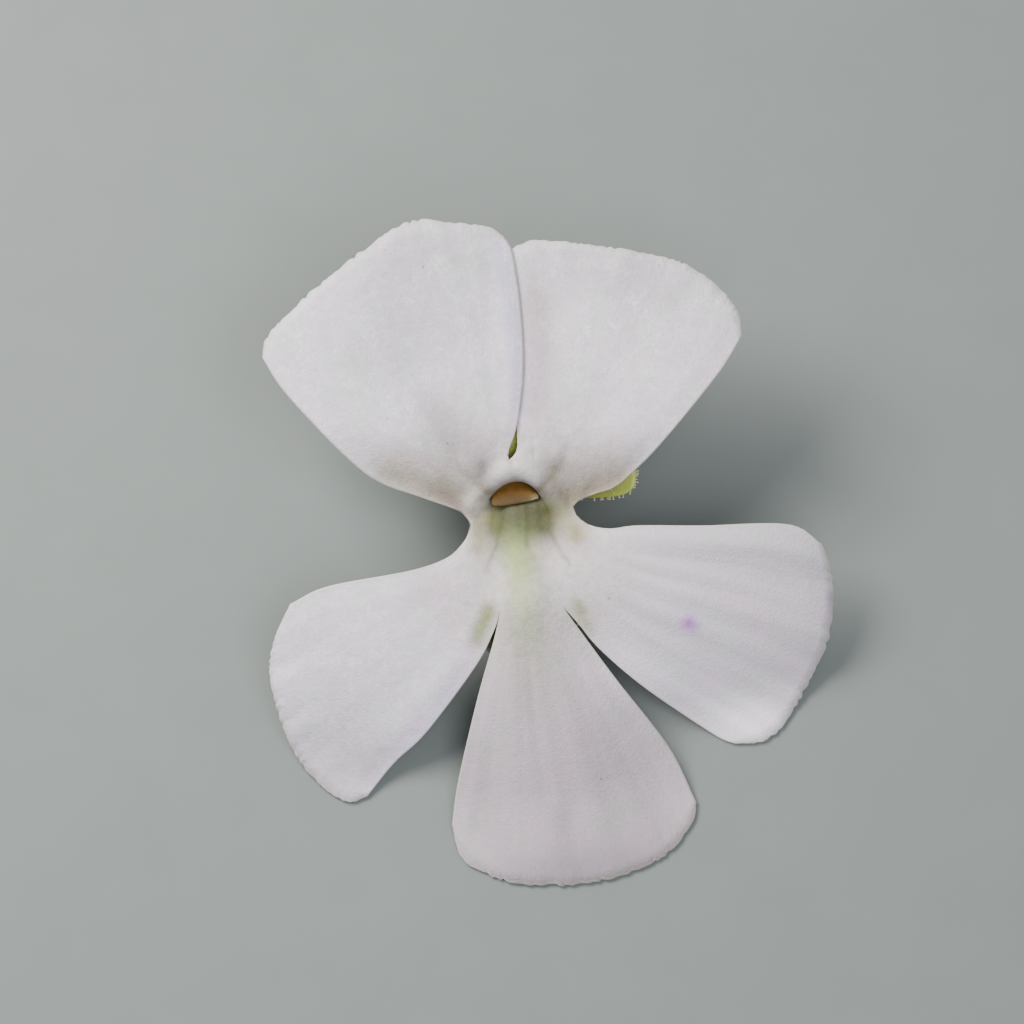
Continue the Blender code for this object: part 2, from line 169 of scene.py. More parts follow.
# The margins run from a notch to a corner of the petal; the tip runs from corner to corner, anticlockwise.
# Teeth: their width and depth. Folds are soft ridges and furrows along the petal: place across it, width,
# height, and where along it they start and end.
PETALS = [
    {
        "name": "upper_left",
        "veining": 0.35,
        "mouth_angles": (92, 178),
        "margins": (
            [
                TOP_NOTCH, (-0.37, 1.92), (-0.31, 2.3), (-0.17, 2.7), (-0.02, 3.1), (0.2, 4.5), (0.32, 6.0),
                (0.27, 7.7), (0.1, 9.5), (-0.2, 11.2), (-0.6, 11.85),
            ],
            [
                LEFT_WAIST, (-2.28, -0.72), (-2.72, -0.42), (-4.5, 0.2), (-6.15, 0.8), (-7.7, 2.0),
                (-10.35, 4.8), (-11.4, 6.4),
            ],
        ),
        "tip": [
            (-0.6, 11.85), (-1.3, 12.25), (-3.2, 12.45), (-4.3, 12.55), (-5.75, 12.0),
            (-8.65, 9.8), (-10.15, 8.45), (-11.2, 7.3), (-11.4, 6.4),
        ],
        "teeth": (0.60, 0.13),
        "folds": [
            (0.06, 0.05, 0.12, 0.45, 0.95), (0.17, 0.05, -0.10, 0.5, 0.9), (0.50, 0.10, -0.22, 0.30, 0.85),
        ],
    },
    {
        "name": "left",
        "veining": 0.5,
        "mouth_angles": (178, 245),
        "margins": (
            [
                LEFT_WAIST, (-2.17, -1.58), (-2.52, -2.1), (-3.2, -2.66), (-4.85, -3.2), (-8.5, -3.9),
                (-10.2, -4.7),
            ],
            [LEFT_CLEFT, (-0.95, -5.8), (-1.8, -7.45), (-4.05, -10.5), (-5.5, -11.9), (-6.75, -13.45)],
        ),
        "tip": [
            (-10.2, -4.7), (-10.95, -6.4), (-11.1, -8.2), (-10.25, -11.1), (-8.95, -12.9), (-7.65, -13.7),
            (-6.75, -13.45),
        ],
        "teeth": (0.42, 0.10),
        "folds": [(0.35, 0.12, -0.06, 0.4, 0.95), (0.85, 0.10, 0.10, 0.45, 0.95)],
    },
    {
        "name": "lower",
        "veining": 0.8,
        "mouth_angles": (245, 300),
        "margins": (
            [LEFT_CLEFT, (-1.0, -6.3), (-1.75, -9.0), (-2.6, -12.65), (-2.9, -14.7)],
            [RIGHT_CLEFT, (2.9, -5.9), (4.6, -8.2), (6.95, -11.25), (8.2, -13.75)],
        ),
        "tip": [
            (-2.9, -14.7), (-2.4, -16.3), (-0.7, -17.15), (1.2, -17.45), (3.95, -17.2), (6.6, -16.2),
            (7.95, -14.7), (8.2, -13.75),
        ],
        "teeth": (0.80, 0.17),
        "folds": [
            (0.28, 0.07, 0.07, 0.45, 0.95), (0.42, 0.04, -0.05, 0.45, 0.9), (0.53, 0.05, -0.16, 0.8, 1.2),
            (0.62, 0.05, 0.05, 0.5, 1.0), (0.78, 0.08, -0.08, 0.4, 0.9),
        ],
    },
    {
        "name": "right",
        "veining": 1.0,
        "mouth_angles": (300, 362),
        "margins": (
            [RIGHT_CLEFT, (2.75, -5.5), (3.8, -6.75), (5.9, -8.55), (9.05, -10.7), (10.0, -11.1)],
            [
                RIGHT_WAIST, (2.78, -0.74), (3.36, -1.16), (4.28, -1.3), (5.5, -1.15), (8.4, -1.15),
                (12.3, -1.1), (13.85, -2.0),
            ],
        ),
        "tip": [
            (10.0, -11.1), (11.3, -10.95), (12.45, -9.9), (14.1, -6.6), (14.4, -4.25), (14.15, -2.8),
            (13.85, -2.0),
        ],
        "teeth": (0.60, 0.13),
        "folds": [
            (0.36, 0.06, -0.06, 0.4, 1.0), (0.52, 0.04, -0.04, 0.45, 1.0),
            (0.66, 0.04, -0.06, 0.4, 1.0), (0.80, 0.05, -0.08, 0.4, 0.95), (0.92, 0.05, 0.05, 0.4, 0.9),
        ],
    },
    {
        "name": "upper_right",
        "veining": 0.35,
        "mouth_angles": (362, 452),
        "margins": (
            [
                RIGHT_WAIST, (2.85, -0.02), (3.53, 0.27), (4.4, 0.55), (5.2, 1.2), (6.65, 2.7), (9.1, 5.7),
                (10.15, 7.4),
            ],
            [
                TOP_NOTCH, (-0.06, 1.99), (0.06, 2.4), (0.06, 2.8), (0.03, 3.3), (0.0, 6.0), (-0.2, 8.5),
                (-0.6, 10.7),
            ],
        ),
        "tip": [
            (10.15, 7.4), (9.95, 8.5), (8.9, 9.75), (7.3, 10.7), (5.0, 11.2), (2.8, 11.5), (0.9, 11.66),
            (0.3, 11.5), (-0.3, 11.2), (-0.6, 10.7),
        ],
        "teeth": (0.52, 0.11),
        "folds": [(0.40, 0.10, -0.08, 0.4, 0.95), (0.72, 0.10, 0.08, 0.35, 0.8)],
    },
]

# How far a petal's far margin lies behind the throat plane, by its direction from the limb's middle
DROOP = [
    (0, -1.6), (42, -0.4), (73, 0.4), (107, 0.5), (147, -0.2), (185, -0.8), (211, -1.9), (238, -3.6),
    (257, -2.7), (280, -2.6), (301, -3.1), (318, -4.5), (345, -2.6), (360, -1.6),
]
DROOP_STARTS = 4.0
DROOP_REACH = 10.5


def smoothstep(low, high, value):
    """Eases from 0 at low to 1 at high."""
    share = min(1.0, max(0.0, (value - low) / (high - low)))
    return share * share * (3 - 2 * share)


def bump(distance, width):
    """A soft hump: 1 at no distance, 0.37 one width away."""
    return math.exp(-((distance / width) ** 2))


def smooth_line(points, count):
    """count points, evenly spaced along a smooth curve that passes through the given ones."""
    knots = [Vector(p) for p in points]
    knots = [2 * knots[0] - knots[1], *knots, 2 * knots[-1] - knots[-2]]
    steps = 16
    line = [knots[1]]
    for before, start, end, after in zip(knots, knots[1:], knots[2:], knots[3:]):
        for step in range(1, steps + 1):
            t = step / steps
            bend = 2 * before - 5 * start + 4 * end - after
            twist = 3 * start - before - 3 * end + after
            line.append(0.5 * (2 * start + (end - before) * t + bend * t**2 + twist * t**3))
    along = [0.0]
    for one, other in zip(line, line[1:]):
        along.append(along[-1] + (other - one).length)
    found = []
    k = 0
    for step in range(count):
        target = along[-1] * step / (count - 1)
        while k < len(line) - 2 and along[k + 1] < target:
            k += 1
        share = (target - along[k]) / (along[k + 1] - along[k])
        found.append(line[k].lerp(line[k + 1], min(1.0, share)))
    return found


def between(table, value):
    """Smoothly read value's place in a table of (key, number) rows."""
    for (low, first), (high, second) in zip(table, table[1:]):
        if value <= high:
            return first + (second - first) * smoothstep(low, high, value)
    return table[-1][1]


def mouth_point(angle):
    """A point of the throat's opening, by its angle in degrees from the right."""
    across, up = math.cos(math.radians(angle)), math.sin(math.radians(angle))
    reach = MOUTH_TOP if up > 0 else MOUTH_BOTTOM
    lift = reach * up * abs(up) ** 0.6 + 0.08 * across * abs(up)
    return MOUTH + Vector((MOUTH_HALF_WIDTH * across, lift))


def settle(plan, rounds):
    """Evens out a grid inside its fixed edges, with no fold where an edge is hollow."""
    for _ in range(rounds):
        across_by = (plan[1:-1, 2:] - plan[1:-1, :-2]) / 2
        along_by = (plan[2:, 1:-1] - plan[:-2, 1:-1]) / 2
        skew = (plan[2:, 2:] - plan[2:, :-2] - plan[:-2, 2:] + plan[:-2, :-2]) / 4
        a = (along_by**2).sum(2, keepdims=True)
        b = (across_by * along_by).sum(2, keepdims=True)
        c = (across_by**2).sum(2, keepdims=True)
        side_by_side = a * (plan[1:-1, 2:] + plan[1:-1, :-2])
        end_to_end = c * (plan[2:, 1:-1] + plan[:-2, 1:-1])
        plan[1:-1, 1:-1] = (side_by_side + end_to_end - 2 * b * skew) / (2 * (a + c) + 1e-9)


def petal_plan(petal):
    """The petal seen from the front: rows of points from the mouth to the far margin."""
    start, end = petal["mouth_angles"]
    foot = np.array([mouth_point(start + (end - start) * i / COLUMNS) for i in range(COLUMNS + 1)])
    tip = np.array(smooth_line(petal["tip"], COLUMNS + 1))
    sides = []
    for margin, angle in zip(petal["margins"], petal["mouth_angles"]):
        seam = smooth_line([mouth_point(angle), margin[0]], SEAM_ROWS + 1)
        sides.append(np.array(seam[:-1] + smooth_line(margin, FREE_ROWS + 1)))
    left, right = (side[:, None] for side in sides)
    u = np.linspace(0, 1, COLUMNS + 1)[None, :, None]
    v = np.linspace(0, 1, ROWS + 1)[:, None, None]
    corners = (foot[0] * (1 - u) + foot[-1] * u) * (1 - v) + (tip[0] * (1 - u) + tip[-1] * u) * v
    plan = left * (1 - u) + right * u + foot[None] * (1 - v) + tip[None] * v - corners
    settle(plan, SETTLING_ROUNDS)

    # Round teeth with sharp notches between them, along the far margin only
    width, depth = petal["teeth"]
    steps = np.linalg.norm(np.diff(plan[-1], axis=0), axis=1)
    run = np.concatenate([[0], np.cumsum(steps)])
    phase = run / width + 0.45 * np.sin(run * 1.7 + start) + 0.3 * np.sin(run * 4.1 + end)
    size = 0.65 + 0.35 * np.sin(run * 2.3 + start)
    tooth = depth * size * (np.abs(np.sin(np.pi * phase)) - 0.6) * np.sin(np.pi * u[0, :, 0]) ** 0.3
    outward = plan[-1] - plan[-3]
    outward /= np.linalg.norm(outward, axis=1)[:, None]
    for back, share in ((1, 1.0), (2, 0.55), (3, 0.2)):
        plan[-back] += outward * (tooth * share)[:, None]
    return plan


# Grooves that cross the petals near the throat: line, width and height, strongest at the line's end
CREASES = [
    ([(-6.2, 0.5), (-2.1, -0.8)], 1.50, -0.95),  # the upper petals roll back towards the waists
    ([(5.4, 0.9), (2.6, -0.3)], 1.40, -0.95),
    ([(3.6, -6.7), (6.2, -9.0), (9.8, -11.2)], 1.70, -1.10),  # the right petal's lower margin curls back
    ([(-2.93, 2.5), (-2.52, 1.4), (-1.85, 0.86), (-1.08, 0.41)], 0.28, -0.07),  # creases beside the collar
    ([(2.3, 2.6), (2.03, 1.67), (1.4, 0.9), (1.04, 0.54)], 0.26, -0.07),
    ([(0.72, 2.9), (0.82, 2.0)], 0.10, -0.06),
]

UPPER_LIP_FORWARD = 0.55
THROAT_DEPTH = 1.25  # beside the flap
STEP_UNDER_FLAP = 0.36  # the floor stands this much higher below it
THROAT_HALF_WIDTHS = (1.66, 2.1)  # left and right
COLLAR_HEIGHT = 0.42
PALATE_HEIGHT = 0.55
MARGIN_LIFT, MARGIN_DROP = 0.05, 0.08  # where the upper left petal lies over the upper right one


def from_line(x, y, points):
    """How far a point lies from a line of points, and its place along the line from 0 to 1."""
    here = Vector((x, y))
    nearest, place = 1e9, 0.0
    for number, (start, end) in enumerate(zip(points, points[1:])):
        run, off = Vector(end) - Vector(start), here - Vector(start)
        share = min(1.0, max(0.0, off.dot(run) / run.length_squared))
        apart = (off - run * share).length
        if apart < nearest:
            nearest, place = apart, (number + share) / (len(points) - 1)
    return nearest, place


def limb_height(x, y, petal):
    """How far the middle of the limb's thickness stands in front of the throat plane."""
    out = Vector((x, y)) - LIMB_CENTRE
    direction = math.degrees(math.atan2(out.y, out.x)) % 360
    reach = max(0.0, out.length - DROOP_STARTS) / DROOP_REACH
    height = between(DROOP, direction) * reach**1.7
    height += UPPER_LIP_FORWARD * smoothstep(0.6, 3.5, y)

    # The throat: a channel that climbs slowly down to the lower petal and steeply up to the collar
    rim = y + 1.6 * (math.hypot(x, 1.6) - 1.6)
    ease = 0.5 * smoothstep(0.8, 2.0, abs(x))
    floor = smoothstep(-5.5, -0.2, y) * (1 - smoothstep(0.76 - ease, 1.18 + ease, rim))
    below_flap = smoothstep(-0.18, 0.18, 0.155 * x - 0.22 - y)
    half_width = THROAT_HALF_WIDTHS[x > 0]
    depth = THROAT_DEPTH - STEP_UNDER_FLAP * below_flap
    height -= depth * floor * math.exp(-((abs(x) / half_width) ** 4))

    height += COLLAR_HEIGHT * bump(rim - 1.45, 0.45) * bump(x, 1.5)  # over the mouth
    height += PALATE_HEIGHT * bump(y + 4.2, 1.5) * bump(x - 0.6, 1.1)  # at the foot of the lower petal
    for line, width, rise in CREASES:
        apart, share = from_line(x, y, line)
        height += rise * bump(apart, width) * (0.35 + 0.65 * share)

    over = smoothstep(1.8, 3.0, y) * bump(x, 2.6)
    if petal == "upper_left":
        height += MARGIN_LIFT * over
    if petal == "upper_right":
        height -= MARGIN_DROP * over
    return height


def rested(y, height):
    """The height in the face frame, raised where a limp petal would reach the table, to lie flat on it."""
    flat = (PETAL_THICKNESS / 2 - THROAT_AT.z - y * math.sin(LEAN)) / math.cos(LEAN)
    soft = 1.2  # the petal bends to the table over this height
    over = height - flat
    if over > soft:
        return height
    return flat if over < -soft else flat + (over + soft) ** 2 / (4 * soft)


def relief(petal, u, v):
    """The petal's own soft folds, which fade out towards the throat."""
    height = 0.0
    for place, width, rise, start, end in petal["folds"]:
        lasts = smoothstep(start - 0.1, start + 0.15, v) * (1 - smoothstep(end - 0.05, end + 0.15, v))
        height += rise * bump(u - place, width) * lasts
    frill = 0.03 * math.sin(u * 31 + 3 * v) + 0.02 * math.sin(u * 57 + 1.3)
    height += frill * smoothstep(0.85, 1.0, v) * math.sin(math.pi * u)
    return height * smoothstep(SEAM_ROWS / ROWS, SEAM_ROWS / ROWS + 0.2, v)


def ring(centre, along, half_width, half_height, angles):
    """Points round an ellipse that faces along, in the face frame, from the given angles in degrees."""
    side = Vector((1, 0, 0))
    side = (side - along * side.dot(along)).normalized()
    up = side.cross(along)
    turns = [math.radians(a) for a in angles]
    return [
        Vector(centre) + side * half_width * math.cos(turn) + up * half_height * math.sin(turn)
        for turn in turns
    ]


def directions(centres):
    """The way a path runs at each of its points."""
    found = []
    for k in range(len(centres)):
        before, after = centres[max(0, k - 1)], centres[min(len(centres) - 1, k + 1)]
        found.append((Vector(after) - Vector(before)).normalized())
    return found


# The tube and its spur, ring by ring: centre, half width and half height
TUBE_STARTS = (0.0, 0.4, -1.4)
TUBE = [
    ((0.0, 0.22, -2.45), 1.56, 1.12),
    ((0.0, 0.00, -2.95), 1.56, 1.30),
    ((0.0, -0.25, -3.40), 1.50, 1.38),
    ((-0.05, -0.80, -3.92), 1.32, 1.18),
    ((-0.15, -1.65, -4.22), 1.10, 1.02),
    ((-0.28, -2.60, -4.28), 0.92, 0.90),
    ((-0.42, -3.60, -4.18), 0.82, 0.82),
    ((-0.56, -4.60, -3.96), 0.76, 0.76),
    ((-0.68, -5.50, -3.68), 0.72, 0.72),
    ((-0.78, -6.30, -3.36), 0.62, 0.62),
    ((-0.83, -6.75, -3.16), 0.40, 0.40),
]
SPUR_TIP = (-0.85, -6.95, -3.07)

# Colour in the living tissue. The petals' own tones meet in the neck's; the lower petal's tone is darker
# with painted shade. On top come soft strokes, of the tissue's own colour and of painted shade and painted
# light, each with its line, its half width, its colour and its strength at either end.
NECK_TONE = "#d3cccd"
TONES = {
    "upper_left": "#d9d5dc", "left": "#dcd7e0", "lower": "#c6bcc3", "right": "#d7d1d8",
    "upper_right": "#dbd6dc",
}
STROKES = [
    ([(-5.0, 11.0), (-1.5, 11.8)], 1.80, "#b6b1b9", 0.5, 0.5),  # painted shade: greyer towards the far margins, darkest at the lower petal's tip
    ([(1.0, 10.8), (6.0, 10.3)], 1.50, "#bfbbc1", 0.5, 0.5),
    ([(-7.0, -12.0), (-8.6, -12.6)], 1.50, "#aaa4aa", 0.6, 0.6),
    ([(0.5, -17.6), (5.5, -16.6)], 2.10, "#837d83", 0.75, 0.75),
    ([(-6.5, 6.5), (-3.5, 8.2)], 1.80, "#b5b0b9", 0.4, 0.4),  # painted shade and painted light across the petals
    ([(3.0, 7.0), (6.0, 6.0)], 2.20, "#e8e4ea", 0.5, 0.5),
    ([(-3.4, 3.8), (-2.6, 2.6)], 1.20, "#a1979d", 0.55, 0.55),
    ([(-4.8, 6.8), (-5.7, 9.8)], 0.90, "#aca3ac", 0.2, 0.2),
    ([(-1.4, 7.4), (-1.5, 10.8)], 0.35, "#a8a0ab", 0.3, 0.3),
    ([(-4.2, -3.9), (-2.8, -5.0)], 1.00, "#c9b8c3", 0.4, 0.4),
    ([(4.0, -11.0), (6.3, -14.5)], 2.00, "#a49ba2", 0.45, 0.45),
    ([(1.95, -14.3), (2.1, -17.2)], 0.50, "#8b8289", 0.3, 0.3),
    ([(0.3, -6.4), (1.1, -8.6)], 1.20, "#9f979b", 0.35, 0.35),
    ([(-1.9, -11.5), (-1.3, -15.0)], 1.20, "#a89ea4", 0.3, 0.3),
    ([(1.5, -8.5), (1.9, -12.5)], 1.50, "#b9adb6", 0.35, 0.35),
    # a painted highlight along the right petal's lower margin
    ([(5.0, -7.4), (11.0, -9.8)], 1.30, "#faf4fe", 0.85, 0.85),
    ([(-5.6, 1.2), (-2.4, -0.1)], 0.90, "#9d9482", 0.8, 0.8),  # beige at the foot of the upper petals, with painted shade where they roll back
    ([(2.4, 0.2), (4.6, 0.9)], 0.80, "#8a7f62", 0.85, 0.7),
    ([(-5.2, 1.7), (-3.2, 1.4)], 0.80, "#b5ae98", 0.35, 0.35),
    ([(2.8, 1.4), (4.4, 1.7)], 0.80, "#b5ae98", 0.35, 0.35),
    ([(-3.2, 0.5), (-2.5, 0.1)], 0.80, "#746a58", 0.5, 0.5),
    ([(-1.55, 1.5), (-1.4, 0.9)], 0.55, "#6a625a", 0.75, 0.55),  # painted shade either side of the collar, then more painted shade and light on the petals
    ([(1.65, 1.5), (1.6, 0.7)], 0.60, "#7d7360", 0.65, 0.5),
    ([(-3.2, 3.0), (-1.9, 2.2)], 0.9, "#a8a2a8", 0.3, 0.3),
    ([(6.5, -4.8), (9.5, -6.4)], 1.5, "#e8e1ec", 0.4, 0.4),
    ([(-2.93, 2.5), (-2.52, 1.4), (-1.85, 0.86), (-1.25, 0.45)], 0.20, "#7d7654", 0.15, 0.5),  # painted shade along the creases
    ([(2.3, 2.6), (2.03, 1.67), (1.4, 0.9), (1.1, 0.6)], 0.20, "#777049", 0.2, 0.6),
    ([(-2.1, 0.1), (-1.5, -0.4)], 0.38, "#f1ebdf", 0.5, 0.75),  # painted light on the walls of the neck, lifting their shade
    ([(1.55, 0.1), (1.75, -0.4)], 0.30, "#ece6d6", 0.4, 0.4),
    ([(-0.75, -0.6), (1.35, -0.5)], 0.76, "#353d0b", 0.8, 0.92),  # the throat's green
    ([(-0.75, -1.3), (1.3, -1.3)], 0.85, "#3d4614", 0.93, 0.93),
    ([(-0.1, -2.0), (0.35, -2.7)], 0.90, "#697344", 0.85, 0.55),
    ([(-0.75, -0.5), (-1.0, -1.3)], 0.40, "#5b6430", 0.25, 0.4),
    ([(-0.8, -0.1), (1.0, 0.1)], 0.45, "#56561c", 0.75, 0.5),
    ([(-1.4, -0.75), (-1.8, -1.2), (-1.7, -2.2)], 0.40, "#94964a", 0.45, 0.55),  # yellower rims of the neck
    ([(1.7, -0.3), (2.3, -0.8), (2.75, -1.6)], 0.55, "#85863a", 0.25, 0.75),
    ([(0.1, -2.6), (0.35, -4.6), (0.6, -6.4)], 0.85, "#a4ba6f", 0.65, 0.4),
    ([(0.5, -6.2), (0.8, -8.2)], 1.30, "#b3aca4", 0.5, 0.5),  # pale green ridge of the palate
    ([(-0.05, -2.4), (0.1, -4.6)], 0.30, "#b4bf7c", 0.25, 0.15),
    ([(-1.25, -5.0), (-1.75, -6.2)], 0.38, "#7a8726", 0.8, 0.62),  # the lower sepals show through
    ([(2.75, -4.7), (3.25, -5.7)], 0.34, "#8f964a", 0.62, 0.45),
    ([(-0.5, -0.1), (-0.6, -1.0), (-0.85, -2.1), (-1.4, -3.2)], 0.13, "#474c1c", 0.6, 0.3),  # green veins
    ([(-1.0, -0.6), (-1.15, -1.4)], 0.12, "#565b28", 0.5, 0.2),
    ([(0.1, -0.2), (0.15, -1.6)], 0.11, "#474c1c", 0.4, 0.2),
    ([(0.47, -0.2), (0.5, -2.2)], 0.12, "#3f4414", 0.6, 0.3),
    ([(0.95, -0.2), (1.15, -1.5)], 0.11, "#3f4414", 0.4, 0.2),
    ([(1.3, -0.1), (1.6, -1.6), (1.97, -2.2), (2.35, -2.8)], 0.13, "#4b5020", 0.4, 0.35),
    # painted shadow under the collar at the mouth's edge, and painted shade in the notch over the collar
    ([(-1.0, 0.42), (-0.5, 0.86), (0.0, 0.98), (0.5, 0.88), (1.0, 0.5)], 0.14, "#5a4a26", 0.5, 0.5),
    ([(-0.24, 1.6), (-0.3, 1.8)], 0.12, "#857a5c", 0.4, 0.6),
    ([(0.9, 4.2), (0.9, 9.0)], 0.90, "#ac9ca6", 0.6, 0.65),  # painted shadow beside the overlapping margin
    ([(0.05, 3.5), (-0.1, 6.5), (-0.7, 11.4)], 0.38, "#dad3f0", 0.5, 0.6),  # lilac margins
    ([(-2.2, -7.9), (-6.2, -13.0)], 0.40, "#c3bbe2", 0.5, 0.5),
    ([(14.35, -4.3), (14.1, -5.6)], 0.22, "#a582bd", 0.45, 0.45),
    ([(7.75, -5.5), (7.85, -5.55)], 0.32, "#b263cf", 0.9, 0.9),  # one stray lilac spot
]


def colour_with_painted_light_at(x, y, petal, v):
    """The linear colour of the tissue at a point of the limb, with its painted shade and painted light."""
    own = smoothstep(SEAM_ROWS / ROWS, SEAM_ROWS / ROWS + 0.3, v)
    colour = Vector(linear(NECK_TONE)).lerp(Vector(linear(TONES[petal])), own)
    for line, width, hue, first, last in STROKES:
        apart, share = from_line(x, y, line)
        if apart < 3 * width:
            strength = first + (last - first) * share
            colour = colour.lerp(Vector(linear(hue)), strength * bump(apart, width))
    return colour


def margin_distances(plan):
    """How far each point of a petal's grid is from its free margins, in millimetres."""
    steps = np.linalg.norm(np.diff(plan, axis=1), axis=2)
    from_left = np.concatenate([np.zeros((ROWS + 1, 1)), np.cumsum(steps, axis=1)], axis=1)
    sides = np.minimum(from_left, from_left[:, -1:] - from_left)
    sides += np.clip(SEAM_ROWS + 3 - np.arange(ROWS + 1), 0, None)[:, None] * 0.4
    rise = np.linalg.norm(np.diff(plan[::-1], axis=0), axis=2)
    from_tip = np.concatenate([np.zeros((1, COLUMNS + 1)), np.cumsum(rise, axis=0)])[::-1]
    return np.minimum(sides, from_tip)


# The five limbs side by side, with what the skin's colour needs to know at each point
builder = bmesh.new()
body_weight = builder.verts.layers.deform.verify()
# each point's colour, with its painted shade and painted light
pigment_and_painted_light = builder.verts.layers.float_color.new("pigment_and_painted_light")
margin = builder.verts.layers.float.new("margin")
veining = builder.verts.layers.float.new("veining")
across = builder.verts.layers.float.new("across")
along = builder.verts.layers.float.new("along")
around = builder.verts.layers.float.new("around")
facing = builder.verts.layers.float_vector.new("face_place")
for number, petal in enumerate(PETALS):
    plan = petal_plan(petal)
    inset = margin_distances(plan)
    start, end = petal["mouth_angles"]
    made = bmesh.ops.create_grid(builder, x_segments=COLUMNS, y_segments=ROWS, size=1)
    for vert in made["verts"]:
        u, v = (vert.co.x + 1) / 2, (vert.co.y + 1) / 2
        row, column = round(v * ROWS), round(u * COLUMNS)
        x, y = plan[row, column]
        height = rested(y, limb_height(x, y, petal["name"]) + relief(petal, u, v))
        vert.co = laid((x, y, height))
        vert[across] = number + u
        vert[along] = v
        vert[around] = start + (end - start) * u
        vert[facing] = (x, y, height)
        vert[pigment_and_painted_light] = colour_with_painted_light_at(x, y, petal["name"], v)
        vert[margin] = inset[row, column]
        vert[veining] = petal["veining"] * smoothstep(0.3, 0.6, v)
        vert[body_weight][0] = smoothstep(0.0, 1.2, inset[row, column])
bmesh.ops.remove_doubles(builder, verts=builder.verts, dist=0.001 * MM)

# The tube, drawn from the mouth's edge and closed at the spur's tip
edges = [e for e in builder.edges if e.is_boundary and all(v[along] < 1e-6 for v in e.verts)]
centres = [TUBE_STARTS] + [c for c, _, _ in TUBE] + [SPUR_TIP]
for (centre, half_width, half_height), way in zip(TUBE, directions(centres)[1:]):
    drawn = bmesh.ops.extrude_edge_only(builder, edges=edges)["geom"]
    edges = [e for e in drawn if isinstance(e, bmesh.types.BMEdge) and e.is_boundary]
    for vert in {v for e in edges for v in e.verts}:
        place = ring(centre, way, half_width, half_height, [vert[around]])[0]
        vert.co = laid(place)
        vert[facing] = place
        vert[along] -= 0.08
drawn = bmesh.ops.extrude_edge_only(builder, edges=edges)["geom"]
tip_ring = [v for v in drawn if isinstance(v, bmesh.types.BMVert)]
bmesh.ops.pointmerge(builder, verts=tip_ring, merge_co=laid(SPUR_TIP))

# Living petal tissue: white cells full of air and sap, matt from the fine domes of its skin, faintly lilac
# and green where pigment or sap lies deeper, and soft with the light that passes through it.
petal_tissue, tree, shader = new_material(
    "living petal tissue",
    Roughness=0.62,
    IOR=1.4,
    Specular_IOR_Level=0.35,
    Subsurface_Weight=0.25,
    Subsurface_Radius=(1.0, 0.95, 0.8),
    Subsurface_Scale=0.4 * MM,
    Sheen_Weight=0.06,
    Sheen_Roughness=0.5,
)
place = add(tree, "ShaderNodeAttribute", {"attribute_name": "face_place"}).outputs["Vector"]
# the tissue's colour, with its painted shade and painted light
tissue = add(tree, "ShaderNodeAttribute", {"attribute_name": "pigment_and_painted_light"}).outputs["Color"]
breadth = add(tree, "ShaderNodeAttribute", {"attribute_name": "across"}).outputs["Fac"]
length = add(tree, "ShaderNodeAttribute", {"attribute_name": "along"}).outputs["Fac"]
inset = add(tree, "ShaderNodeAttribute", {"attribute_name": "margin"}).outputs["Fac"]

# Blotches about 2 mm across, where the tissue is a little pinker, bluer or greener
blotch = add(
    tree, "ShaderNodeTexNoise", inputs={"Vector": place, "Scale": 0.6, "Detail": 6.0, "Roughness": 0.78}
)
blotch_share = add(tree, "ShaderNodeMapRange", inputs={"Value": blotch, "From Min": 0.3, "From Max": 0.7})
blotch_tint = add(
    tree, "ShaderNodeMix", COLOURS, {0: blotch_share, 6: linear("#f9e9f4"), 7: linear("#e6efe6")}
)
mottled = add(
    tree, "ShaderNodeMix", {**COLOURS, "blend_type": "MULTIPLY"}, {0: 1.0, 6: tissue, 7: blotch_tint}
)

# Veins fan out along each petal, a third of a millimetre apart near the throat
veins_place = add(tree, "ShaderNodeCombineXYZ", inputs={"X": breadth, "Y": length})
veins_run = add(tree, "ShaderNodeMapping", inputs={"Vector": veins_place, "Scale": (13.0, 1.4, 1.0)})
veins = add(tree, "ShaderNodeTexNoise", inputs={"Vector": veins_run, "Scale": 1.0, "Detail": 4.0})
vein_fade = add(tree, "ShaderNodeAttribute", {"attribute_name": "veining"}).outputs["Fac"]
vein_depth = add(
    tree,
    "ShaderNodeMapRange",
    inputs={"Value": veins, "From Min": 0.35, "From Max": 0.65, "To Min": 0.92, "To Max": 1.05},
)
vein_shade = add(tree, "ShaderNodeMix", inputs={0: vein_fade, 2: 1.0, 3: vein_depth})

# The skin is a fine soft grain of domed cells, drawn at 0.1 mm so that they show. Towards the far margins,
# in patches, single cells carry a painted glint: a painted highlight added to the colour. Veined petals are
# calmer.
cells = add(tree, "ShaderNodeTexVoronoi", inputs={"Vector": place, "Scale": 9.0})
grain = add(
    tree, "ShaderNodeTexNoise", inputs={"Vector": place, "Scale": 2.4, "Detail": 4.0, "Roughness": 0.75}
)
grain_shade = add(
    tree,
    "ShaderNodeMapRange",
    inputs={"Value": grain, "From Min": 0.3, "From Max": 0.7, "To Min": 0.82, "To Max": 1.12},
)
glint_patch_noise = add(
    tree, "ShaderNodeTexNoise", inputs={"Vector": place, "Scale": 0.9, "Detail": 8.0, "Roughness": 0.8}
)
glint_fade_in = add(tree, "ShaderNodeMapRange", inputs={"Value": length, "From Min": 0.35, "From Max": 0.65})
glint_patches = add(
    tree,
    "ShaderNodeMapRange",
    inputs={"Value": glint_patch_noise, "From Min": 0.46, "From Max": 0.64, "To Max": glint_fade_in},
)
painted_spark_sizes = add(
    tree,
    "ShaderNodeMapRange",
    inputs={
        "Value": cells.outputs["Color"], "From Min": 0.3, "From Max": 1.0, "To Min": 0.05, "To Max": 0.55,
    },
)
